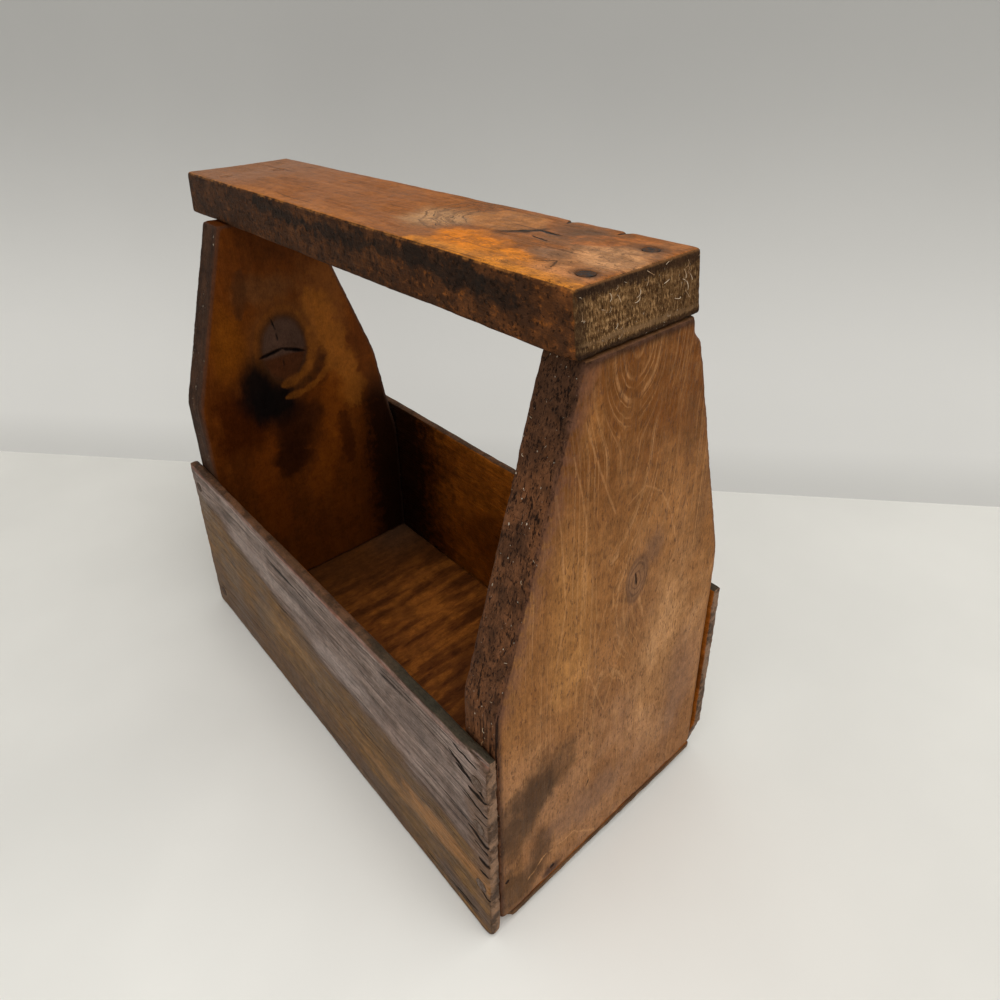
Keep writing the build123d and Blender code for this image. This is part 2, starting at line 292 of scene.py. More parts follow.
def stage_material(name, colour, see_through_back):
    material, graph, shader = new_material(name, STAGE_SPECULAR)
    shader.inputs["Roughness"].default_value = STAGE_ROUGHNESS
    place = graph.put("ShaderNodeTexCoord").outputs["Object"]
    cloud = graph.noise(place, scale=CLOUDS_PER_METRE, detail=3.0)
    tone = graph.remap(cloud, 0.3, 0.7, *CLOUD_TONES)
    # painted pool of light: lighter near the spot before the near corner
    near = graph.vector("DISTANCE", place, LIGHT_POOL_SPOT)
    tone = graph.math("MULTIPLY", tone, graph.remap(near, *LIGHT_POOL_REACH, LIGHT_POOL_TONE, 1.0))
    if see_through_back:
        seen = graph.put("ShaderNodeLightPath").outputs["Is Camera Ray"]
        tone = graph.math("MULTIPLY", tone, graph.remap(seen, 0.0, 1.0, 1.0, WALL_SEEN))
    shade = graph.mix(1.0, colour, graph.combine(tone, tone, tone), blend="MULTIPLY")
    graph.join(shade, shader.inputs["Base Color"])
    if see_through_back:
        # painted light on the wall: a glow for camera rays that fades upwards, and a painted shadow
        # at its foot
        high = graph.split(place)[2]
        glow = graph.math("MINIMUM", graph.remap(high, *WALL_FOOT_SHADOW),
                          graph.remap(high, *WALL_GLOW_FADE, *WALL_GLOW))
        shader.inputs["Emission Color"].default_value = rgba(colour)
        graph.join(graph.math("MULTIPLY", seen, glow), shader.inputs["Emission Strength"])
        clear = graph.put("ShaderNodeBsdfTransparent").outputs[0]
        back = graph.put("ShaderNodeNewGeometry").outputs["Backfacing"]
        one_sided = graph.wire("ShaderNodeMixShader", {0: back, 1: shader.outputs[0], 2: clear})
        graph.join(one_sided, material.node_tree.nodes["Material Output"].inputs["Surface"])
    return material


def make_stage():
    reach = STAGE_REACH
    floor = [Vector((-reach, -reach, 0)), Vector((reach, -reach, 0)),
             Vector((reach, reach, 0)), Vector((-reach, reach, 0))]
    plain_quad("floor", floor, stage_material("pale_floor", FLOOR_COLOUR, False))
    along = (WALL_RIGHT - WALL_LEFT).normalized()
    up = Vector((0, 0, WALL_HEIGHT))
    left, right = WALL_LEFT - along * reach, WALL_RIGHT + along * reach
    wall = [left, right, right + up, left + up]
    plain_quad("wall", wall, stage_material("pale_wall", WALL_COLOUR, True))


def make_light():
    world = bpy.data.worlds.new("studio")
    world.use_nodes = True
    bpy.context.scene.world = world
    graph = Graph(world.node_tree)
    background = world.node_tree.nodes["Background"]
    background.inputs["Color"].default_value = rgba(WORLD_COLOUR)
    path = graph.put("ShaderNodeLightPath").outputs
    seen = graph.math("MAXIMUM", path["Is Camera Ray"], path["Is Transmission Ray"])
    strength = graph.remap(seen, 0.0, 1.0, WORLD_STRENGTH, BACKGROUND_SHADE, smooth=False)
    graph.join(strength, background.inputs["Strength"])
    lamp = bpy.data.lights.new("soft_lamp", "AREA")
    lamp.energy = LAMP_POWER
    lamp.size = LAMP_SIZE
    holder = add_object("soft_lamp", lamp)
    holder.location = LAMP_PLACE
    holder.rotation_mode = "QUATERNION"
    holder.rotation_quaternion = (LAMP_TARGET - LAMP_PLACE).to_track_quat("-Z", "Y")


make_stage()
make_light()
bpy.context.scene.view_settings.view_transform = "Standard"
print("floor, wall and light made")

# %% [markdown]
# ## Worn boards
#
# A saw leaves a board with crisp arrises, and years of use take them away unevenly. The CAD
# solid gives each board its outline, its lean and its larger chips. A voxel remesh of a copy
# gives it an even skin of small faces, fine enough to be dented, and a Geometry Nodes tree
# then wears the skin down. It works inwards only, so that no board grows.
#
# How far a point stands out from its surroundings is found by blurring the positions over
# the skin: on an arris the blurred place lies deeper than the point. The same measure is
# stored as the attribute "worn", which the finishes read.

# %% The wearing tree
ARRIS_STANDS_OUT = (0.0001, 0.0009)   # metres above the blurred skin: flat, and full arris
CHIPS_PER_METRE = 95.0
HOLLOWS_PER_METRE = 22.0


def realised(graph, shape, finish):
    """Real faces with their material, because the export drops instances."""
    real = graph.wire("GeometryNodeRealizeInstances", {0: shape})
    return graph.wire("GeometryNodeSetMaterial", {"Geometry": real, "Material": finish})


def wearing_tree():
    graph, given, result = new_group("wear_board", "GeometryNodeTree", [
        ("Board", "geometry", None), ("Along", "vector", (1.0, 1.0, 1.0)),
        ("Seed", "float", 0.0), ("Edge Loss", "float", 0.0008),
        ("Dent", "float", 0.0004), ("Ridge", "float", 0.0002),
        ("Reach", "int", 6), ("Finish", "material", None),
    ], [("Board", "geometry")])
    place = graph.put("GeometryNodeInputPosition").outputs[0]
    normal = graph.put("GeometryNodeInputNormal").outputs[0]
    blurred = graph.wire("GeometryNodeBlurAttribute", {
        "Value": place, "Iterations": given["Reach"]}, data_type="FLOAT_VECTOR")
    proud = graph.vector("DOT_PRODUCT", graph.vector("SUBTRACT", place, blurred), normal)
    shifted = graph.vector("ADD", place, graph.combine(given["Seed"], given["Seed"], 0.0))
    grain = graph.vector("MULTIPLY", shifted, given["Along"])
    edge = graph.remap(proud, *ARRIS_STANDS_OUT)
    chips = graph.remap(graph.noise(shifted, CHIPS_PER_METRE, 3.0), 0.36, 0.72)
    hollows = graph.remap(graph.noise(shifted, HOLLOWS_PER_METRE, 3.0), 0.3, 0.75)
    ridges = graph.remap(graph.noise(grain, 1.0, 3.0, 0.6), 0.3, 0.7)
    depth = graph.math("MULTIPLY", graph.math("MULTIPLY", edge, chips), given["Edge Loss"])
    depth = graph.math("MULTIPLY_ADD", hollows, given["Dent"], depth)
    depth = graph.math("MULTIPLY_ADD", ridges, given["Ridge"], depth)
    inward = graph.vector("SCALE", normal, scale=graph.math("MULTIPLY", depth, -1.0))
    store = graph.wire("GeometryNodeStoreNamedAttribute", {
        "Geometry": given["Board"], "Name": "worn",
        "Value": graph.math("DIVIDE", proud, MM)}, data_type="FLOAT", domain="POINT")
    move = graph.wire("GeometryNodeSetPosition", {"Geometry": store, "Offset": inward})
    smooth = graph.wire("GeometryNodeSetShadeSmooth", {0: move})
    graph.join(realised(graph, smooth, given["Finish"]), result["Board"])
    return graph.tree


WEAR_BOARD = wearing_tree()
print("wearing tree:", len(WEAR_BOARD.nodes), "nodes")

# %% [markdown]
# ## From solid to worn board
#
# The remesh can leave closed bubbles where a nail's shank passes through a board. Only the
# largest connected skin is kept, so each board is one clean closed mesh.

# %% Board maker
MERGE_WITHIN = 0.00001


def largest_skin(mesh):
    """Delete all but the largest connected part of a mesh; return how many went."""
    work = bmesh.new()
    work.from_mesh(mesh)
    work.verts.ensure_lookup_table()
    seen, parts = set(), []
    for start in work.verts:
        if start.index in seen:
            continue
        seen.add(start.index)
        stack, part = [start], []
        while stack:
            vertex = stack.pop()
            part.append(vertex)
            for edge in vertex.link_edges:
                other = edge.other_vert(vertex)
                if other.index not in seen:
                    seen.add(other.index)
                    stack.append(other)
        parts.append(part)
    parts.sort(key=len)
    for part in parts[:-1]:
        bmesh.ops.delete(work, geom=part, context="VERTS")
    work.to_mesh(mesh)
    work.free()
    return len(parts) - 1


def merged_copy(node, name):
    """A copy of a CAD node whose loose triangles are joined at their corners."""
    work = bmesh.new()
    work.from_mesh(frame["nodes"][node].data)
    bmesh.ops.remove_doubles(work, verts=work.verts, dist=MERGE_WITHIN)
    mesh = bpy.data.meshes.new(name)
    work.to_mesh(mesh)
    work.free()
    return add_object(name, mesh)


def run_tree(holder, tree, **values):
    """Add a Geometry Nodes tree to an object; its inputs are set by their identifiers."""
    modifier = holder.modifiers.new(tree.name, "NODES")
    modifier.node_group = tree
    inputs = {item.name: item.identifier for item in tree.interface.items_tree
              if item.item_type == "SOCKET" and item.in_out == "INPUT"}
    for title, value in values.items():
        modifier[inputs[title.replace("_", " ")]] = value


def finished_mesh(holder, name):
    """The evaluated mesh of an object by itself; the object and its modifiers go."""
    view = bpy.context.evaluated_depsgraph_get()
    mesh = bpy.data.meshes.new_from_object(holder.evaluated_get(view))
    mesh.name = name
    bpy.data.objects.remove(holder)
    return mesh


def make_board(node, slot, material, voxel, along, seed, **wear):
    """Replace one CAD board by a worn copy of it; voxel is in millimetres."""
    rough = merged_copy(node, node + "_rough")
    remesh = rough.modifiers.new("skin", "REMESH")
    remesh.mode = "VOXEL"
    remesh.voxel_size = voxel * MM
    run_tree(rough, WEAR_BOARD, Along=along, Seed=seed, Finish=material, **wear)
    mesh = finished_mesh(rough, node + "_worn")
    bubbles = largest_skin(mesh)
    board = add_object(node + "_worn", mesh)
    if not mesh.materials:
        mesh.materials.append(material)
    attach(board, BODY)
    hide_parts(node)
    print(node, "faces", len(mesh.polygons), "bubbles removed", bubbles)
    return board


print("board maker ready")

# %% [markdown]
# ## Wood, as shader groups
#
# Every finish below is made of the same few effects, so each effect is one node group with
# named inputs. All of them work on a place in millimetres whose X runs along the grain, Y
# across the board and Z through it. The pattern therefore goes through the whole board, and
# the lines on a face meet the lines on the edge beside it.

# %% Growth rings
def growth_rings():
    """Lines of late wood where the face cuts the tree's rings."""
    graph, given, result = new_group("growth_rings", "ShaderNodeTree", [
        ("Place", "vector", None), ("Across", "float", 0.0), ("Depth", "float", 20.0),
        ("Ring Width", "float", 6.0), ("Wander", "float", 4.0), ("Push", "float", 0.0),
        ("Crowd", "float", 0.0), ("Seed", "float", 0.0),
    ], [("Line", "float"), ("Band", "float"), ("Tone", "float")])
    shifted = graph.shift(given["Place"], given["Seed"])
    slow = graph.noise(graph.vector("MULTIPLY", shifted, (0.006, 0.016, 0.016)),
                       detail=2.0, colour=True)
    sway = graph.split(graph.vector("SCALE", graph.vector("SUBTRACT", slow, (0.5, 0.5, 0.5)),
                                    scale=given["Wander"]))
    quick = graph.noise(graph.vector("MULTIPLY", shifted, (0.03, 0.25, 0.25)), detail=2.0)
    across = graph.math("ADD", given["Across"], sway[0])
    depth = graph.math("ADD", given["Depth"], sway[1])
    radius = graph.math("SQRT", graph.math("ADD", graph.math("MULTIPLY", across, across),
                                           graph.math("MULTIPLY", depth, depth)))
    radius = graph.math("ADD", radius, given["Push"])
    radius = graph.math("MULTIPLY_ADD", quick, 0.8, radius)
    crowding = graph.math("MULTIPLY_ADD", radius, given["Crowd"], 1.0)
    count = graph.math("DIVIDE", graph.math("MULTIPLY", radius, crowding),
                       given["Ring Width"])
    uneven = graph.noise(graph.combine(count, given["Seed"], 0.0), scale=0.6, detail=1.0)
    count = graph.math("MULTIPLY_ADD", uneven, 1.6, count)
    part = graph.math("FRACT", count)
    late = graph.remap(part, 0.72, 0.92)
    end = graph.remap(part, 0.94, 1.0, 1.0, 0.0)
    faint = graph.noise(graph.vector("MULTIPLY", shifted, (0.012, 0.05, 0.05)), detail=2.0)
    tone = graph.put("ShaderNodeTexWhiteNoise", noise_dimensions="1D")
    graph.join(graph.math("FLOOR", count), tone.inputs["W"])
    strong = graph.remap(tone.outputs["Value"], 0.2, 0.9, 0.25, 1.0)
    late = graph.math("MULTIPLY", graph.math("MULTIPLY", late, strong),
                      graph.remap(faint, 0.36, 0.58))
    graph.join(graph.math("MULTIPLY", late, end), result["Line"])
    graph.join(graph.remap(part, 0.0, 0.95), result["Band"])
    graph.join(tone.outputs["Value"], result["Tone"])
    return graph.tree


GROWTH_RINGS = growth_rings()
print("growth rings ready")

# %% [markdown]
# A knot is the foot of a branch. Its own small rings show inside it, a dark rim of bark
# surrounds it, and the rings of the board swerve round it. The group gives each of these
# as its own output.

# %% Knot, stain and crack
def knot_group():
    graph, given, result = new_group("knot", "ShaderNodeTree", [
        ("Place", "vector", None), ("Centre", "vector", (0.0, 0.0, 0.0)),
        ("Half Length", "float", 15.0), ("Half Width", "float", 11.0),
        ("Bend", "float", 12.0), ("Spread", "float", 2.4), ("Ragged", "float", 0.5),
    ], [("Push", "float"), ("Core", "float"), ("Rim", "float"), ("Rings", "float"),
        ("Distance", "float")])
    from_centre = graph.split(graph.vector("SUBTRACT", given["Place"], given["Centre"]))
    wobble = graph.noise(given["Place"], scale=0.09, detail=3.0)
    flat = graph.combine(graph.math("DIVIDE", from_centre[0], given["Half Length"]),
                         graph.math("DIVIDE", from_centre[1], given["Half Width"]), 0.0)
    far = graph.math("MULTIPLY_ADD", graph.math("SUBTRACT", wobble, 0.5), given["Ragged"],
                     graph.vector("LENGTH", flat))
    fall = graph.math("DIVIDE", far, given["Spread"])
    bell = graph.math("EXPONENT", graph.math("MULTIPLY",
                                             graph.math("MULTIPLY", fall, fall), -1.0))
    rim = graph.math("ABSOLUTE", graph.math("SUBTRACT", far, 1.0))
    graph.join(graph.math("MULTIPLY", bell, given["Bend"]), result["Push"])
    graph.join(graph.remap(far, 0.86, 1.06, 1.0, 0.0), result["Core"])
    graph.join(graph.remap(rim, 0.0, 0.22, 1.0, 0.0), result["Rim"])
    wave = graph.math("SINE", graph.math("MULTIPLY", far, 19.0))
    graph.join(graph.remap(wave, 0.2, 1.0), result["Rings"])
    graph.join(far, result["Distance"])
    return graph.tree


def stain_group():
    """A soft ragged blot round a place."""
    graph, given, result = new_group("stain", "ShaderNodeTree", [
        ("Place", "vector", None), ("Centre", "vector", (0.0, 0.0, 0.0)),
        ("Size", "vector", (20.0, 20.0, 20.0)), ("Ragged", "float", 0.6),
        ("Seed", "float", 0.0),
    ], [("Mask", "float")])
    away = graph.vector("DIVIDE", graph.vector("SUBTRACT", given["Place"], given["Centre"]),
                        given["Size"])
    shifted = graph.shift(given["Place"], given["Seed"])
    rough = graph.noise(graph.vector("MULTIPLY", shifted, (0.035, 0.07, 0.07)), detail=5.0,
                        roughness=0.6)
    far = graph.math("MULTIPLY_ADD", graph.math("SUBTRACT", rough, 0.5),
                     graph.math("MULTIPLY", given["Ragged"], 2.0),
                     graph.vector("LENGTH", away))
    graph.join(graph.remap(far, 0.35, 1.1, 1.0, 0.0), result["Mask"])
    return graph.tree


def crack_group():
    """A thin wandering line from one place to another, widest in its middle."""
    graph, given, result = new_group("crack", "ShaderNodeTree", [
        ("Place", "vector", None), ("From", "vector", (0.0, 0.0, 0.0)),
        ("To", "vector", (10.0, 0.0, 0.0)), ("Width", "float", 0.6),
        ("Wander", "float", 2.0), ("Blunt", "float", 0.06),
    ], [("Mask", "float")])
    shake = graph.noise(given["Place"], scale=0.16, detail=3.0, colour=True)
    moved = graph.vector("ADD", given["Place"], graph.vector(
        "SCALE", graph.vector("SUBTRACT", shake, (0.5, 0.5, 0.5)), scale=given["Wander"]))
    start = graph.vector("SUBTRACT", moved, given["From"])
    line = graph.vector("SUBTRACT", given["To"], given["From"])
    share = graph.math("DIVIDE", graph.vector("DOT_PRODUCT", start, line),
                       graph.vector("DOT_PRODUCT", line, line), clamp=True)
    nearest = graph.vector("SCALE", line, scale=share)
    away = graph.vector("DISTANCE", start, nearest)
    belly = graph.math("SQRT", graph.math("MULTIPLY", share,
                                          graph.math("SUBTRACT", 1.0, share)))
    half = graph.math("MULTIPLY", graph.math("ADD", belly, given["Blunt"]),
                      given["Width"])
    graph.join(graph.remap(graph.math("DIVIDE", away, half), 0.5, 1.3, 1.0, 0.0),
               result["Mask"])
    return graph.tree


KNOT, STAIN, CRACK = knot_group(), stain_group(), crack_group()
print("knot, stain and crack ready")

# %% [markdown]
# Fibres are what makes wood look like wood from near by: long soft streaks, fine hair
# lines, and short dark pores. Old varnish and dirt lie over them: the arrises are rubbed,
# dirt gathers in the pits, and bits of pale fluff and scratched fibre catch the light.
# Each of these is one noise, squeezed along the grain and then cut off between two levels.
# Its scale says how many patches there are in a millimetre along and across the grain.

# %% Fibres, dirt and wear
# name, patches along and across, detail, roughness, lowest and highest level, soft cut
FIBRE_NOISES = (
    ("Streak", 0.009, 0.13, 4.0, 0.55, 0.36, 0.64, True),
    ("Hair", 0.026, 0.50, 4.0, 0.70, 0.36, 0.64, True),
    ("Pore", 0.24, 0.95, 2.0, 0.55, 0.57, 0.68, True),
    ("Check", 0.013, 0.36, 3.0, 0.55, 0.63, 0.69, True),
    ("Crease", 0.015, 0.80, 3.0, 0.55, 0.60, 0.66, True),
    ("Grain", 0.42, 1.35, 3.0, 0.75, 0.32, 0.68, False))
DIRT_NOISES = (
    ("Blotch", 0.075, 0.075, 6.0, 0.68, 0.45, 0.58, True),
    ("Pit", 0.36, 0.36, 3.0, 0.50, 0.58, 0.67, True),
    ("Speck", 0.30, 0.52, 2.0, 0.50, 0.71, 0.76, True),
    ("Cloud", 0.017, 0.017, 4.0, 0.60, 0.40, 0.60, True),
    ("Mottle", 0.14, 0.14, 5.0, 0.72, 0.33, 0.67, False))
GRAIN_BEND = 9.0


def noise_group(name, noises, bend):
    graph, given, result = new_group(name, "ShaderNodeTree", [
        ("Place", "vector", None), ("Seed", "float", 0.0),
    ], [(noise[0], "float") for noise in noises])
    place = graph.shift(given["Place"], given["Seed"])
    if bend:
        wave = graph.noise(graph.vector("MULTIPLY", place, (0.012, 0.03, 0.03)), detail=2.0)
        place = graph.vector("ADD", place, graph.combine(
            0.0, graph.math("MULTIPLY", wave, bend), 0.0))
    for title, along, across, detail, roughness, low, high, soft in noises:
        squeezed = graph.vector("MULTIPLY", place, (along, across, across))
        value = graph.noise(squeezed, detail=detail, roughness=roughness)
        graph.join(graph.remap(value, low, high, smooth=soft), result[title])
    return graph.tree


def arris_group():
    """Where the board stands out: its rubbed arrises, from the stored attribute."""
    graph, given, result = new_group("arris", "ShaderNodeTree", [
        ("Place", "vector", None), ("Low", "float", 0.22), ("High", "float", 0.75),
    ], [("Rubbed", "float"), ("Broad", "float")])
    worn = graph.put("ShaderNodeAttribute", attribute_name="worn").outputs["Fac"]
    rough = graph.noise(given["Place"], scale=0.12, detail=5.0, roughness=0.65)
    uneven = graph.math("MULTIPLY", worn, graph.remap(rough, 0.3, 0.7, 0.45, 1.45))
    graph.join(graph.remap(uneven, given["Low"], given["High"]), result["Rubbed"])
    graph.join(graph.remap(worn, 0.06, 0.42), result["Broad"])
    return graph.tree


FIBRES = noise_group("fibres", FIBRE_NOISES, GRAIN_BEND)
DIRT = noise_group("dirt", DIRT_NOISES, 0.0)
ARRIS = arris_group()
print("fibres, dirt and arris ready")

# %% [markdown]
# ## A helper for wood finishes
#
# A finish starts from one colour and lays others over it, each through its own mask, as a
# painter would glaze. The class Finish holds the board's place, the direction that its
# surface faces, and the colour, roughness and height built up so far. Its masks for fibres,
# dirt and wear are named after the outputs of the groups: streak, hair, pore, cloud and so
# on. The class Face paints on one broad face, where a place needs only two coordinates.

# %% Finish helper
GRAIN = {"along x": (0, 1, 2), "along z": (2, 1, 0), "side": (0, 2, 1), "along y": (1, 0, 2)}
COAT_GLOSS = 0.42                     # roughness of plain old varnish
FACING_SHARE = (0.5, 0.8)             # of a normal's length, from not facing to facing
CRACK_GLOSS = 0.8
STROKE_BLUNT = 0.6                    # a stroke keeps its width to its ends, a crack doesn't


class Finish(Graph):
    """One board's material while it is being built."""

    def __init__(self, name, grain, seed, base, specular):
        self.material, graph, self.shader = new_material(name, specular)
        super().__init__(graph.tree)
        texture = self.put("ShaderNodeTexCoord").outputs
        metres = self.split(texture["Object"])
        self.mm = [self.math("MULTIPLY", metres[axis], 1.0 / MM) for axis in range(3)]
        self.order = GRAIN[grain]
        self.along, self.across, self.through = (self.mm[axis] for axis in self.order)
        self.spot = self.combine(self.along, self.across, self.through)
        self.normal = self.split(texture["Normal"])
        self.seed = seed
        self.colour = rgba(base)
        self.height = 0.0
        self.gloss = COAT_GLOSS
        for group in (FIBRES, DIRT, ARRIS):
            for mask in self.use(group):
                setattr(self, mask.name.lower(), mask)

    def at(self, x, y, z):
        """A place in the tote's own millimetres, in the board's order."""
        return tuple((x, y, z)[axis] for axis in self.order)

    def use(self, group, **values):
        """Place a wood group here and return its outputs."""
        titles = {item.name for item in group.interface.items_tree if item.in_out == "INPUT"}
        if "Seed" in titles:
            values.setdefault("Seed", self.seed)
        return self.place(group, Place=self.spot, **values).outputs

    def facing(self, axis, sign):
        """1 where the surface faces that way, 0 elsewhere."""
        toward = self.math("MULTIPLY", self.normal[axis], float(sign))
        return self.remap(toward, *FACING_SHARE)

    def both(self, *masks):
        """Where all the masks meet."""
        product = masks[0]
        for mask in masks[1:]:
            product = self.math("MULTIPLY", product, mask)
        return product

    def lay(self, mask, colour, strength=1.0, blend="MIX"):
        amount = mask if strength == 1.0 else self.math("MULTIPLY", mask, strength)
        self.colour = self.mix(amount, self.colour, colour, blend=blend)

    def raise_by(self, mask, millimetres):
        self.height = self.math("MULTIPLY_ADD", mask, millimetres, self.height)

    def polish(self, mask, roughness):
        near = self.math("SUBTRACT", roughness, self.gloss)
        self.gloss = self.math("MULTIPLY_ADD", mask, near, self.gloss)

    def stain(self, place, size, colour, strength=1.0, ragged=0.6, within=None):
        """A blot; its place and half sizes are in the tote's own order."""
        mask = self.use(STAIN, Centre=self.at(*place), Size=self.at(*size),
                        Ragged=ragged)["Mask"]
        self.lay(mask if within is None else self.both(mask, within), colour, strength)

    def line(self, start, end, **values):
        return self.use(CRACK, From=self.at(*start), To=self.at(*end), **values)["Mask"]

    def cracks(self, lines, colour, deep=0.5, wander=2.0):
        """Dark thin lines; each is a start, an end and a width."""
        for start, end, width in lines:
            mask = self.line(start, end, Width=width, Wander=wander)
            self.lay(mask, colour)
            self.raise_by(mask, -deep)
            self.polish(mask, CRACK_GLOSS)

    def stroke(self, path, width, colour, strength=1.0, wander=4.0, within=None):
        """A soft line of even width along a path of places."""
        for start, end in zip(path, path[1:]):
            mask = self.line(start, end, Width=width, Wander=wander, Blunt=STROKE_BLUNT)
            mask = mask if within is None else self.both(mask, within)
            self.lay(mask, colour, strength)

    def close(self, mottle):
        """Break the colour up a little, as old varnish does, and join the shader."""
        uneven = self.math("SUBTRACT", self.math("ADD", self.grain, self.mottle), 1.0)
        shade = self.math("MULTIPLY_ADD", uneven, mottle, 1.0)
        self.lay(1.0, self.combine(shade, shade, shade), blend="MULTIPLY")
        self.join(self.bump(self.height, 1.0), self.shader.inputs["Normal"])
        self.join(self.colour, self.shader.inputs["Base Color"])
        self.join(self.gloss, self.shader.inputs["Roughness"])
        return self.material


class Face:
    """A broad face of a board: across is the axis that it faces, level its place there."""

    def __init__(self, finish, across, level, mask, reach=30.0):
        self.finish, self.across, self.level = finish, across, level
        self.mask, self.reach = mask, reach

    def at(self, pair, third=None):
        """Two coordinates with the face's own put between or beside them."""
        third = self.level if third is None else third
        return (*pair[:self.across], third, *pair[self.across:])

    def stain(self, centre, size, colour, strength=1.0, ragged=0.6):
        self.finish.stain(self.at(centre), self.at(size, self.reach), colour, strength,
                          ragged, self.mask)

    def stroke(self, path, width, colour, strength=1.0, wander=4.0):
        self.finish.stroke([self.at(pair) for pair in path], width, colour, strength, wander,
                           self.mask)


print("finish helper ready")

# %% [markdown]
# ## The near end board
#
# This is the board that the light shows best. It was cut flat through the tree, so its rings
# run up the board as thin pale lines, swerve round one knot, and close into bowls under the
# handle. The rings are distances from a heart line that comes near the face at the top.
# Varnish is darkest up there, and a smoky stain crosses the lower left corner.

# %% Near end board finish
SMOKE = (0.060, 0.028, 0.012)
PURPLE_BROWN = (0.092, 0.042, 0.025)
PALE_FIBRE = (0.55, 0.47, 0.36)
PALE_LINE = (0.47, 0.235, 0.095)
PORE = (0.110, 0.045, 0.020)
BARE_WOOD = (0.335, 0.140, 0.042)
# dark lines in the joints: dirt, and painted shade along the ply's joint
JOINT_DIRT_AND_SHADE = (0.022, 0.011, 0.007)
NEAR_FACE = 212.7                     # millimetres along the tote, as all places below
FRONT_EDGE_LEAN = -0.312
FRONT_EDGE_FOOT = 144.5


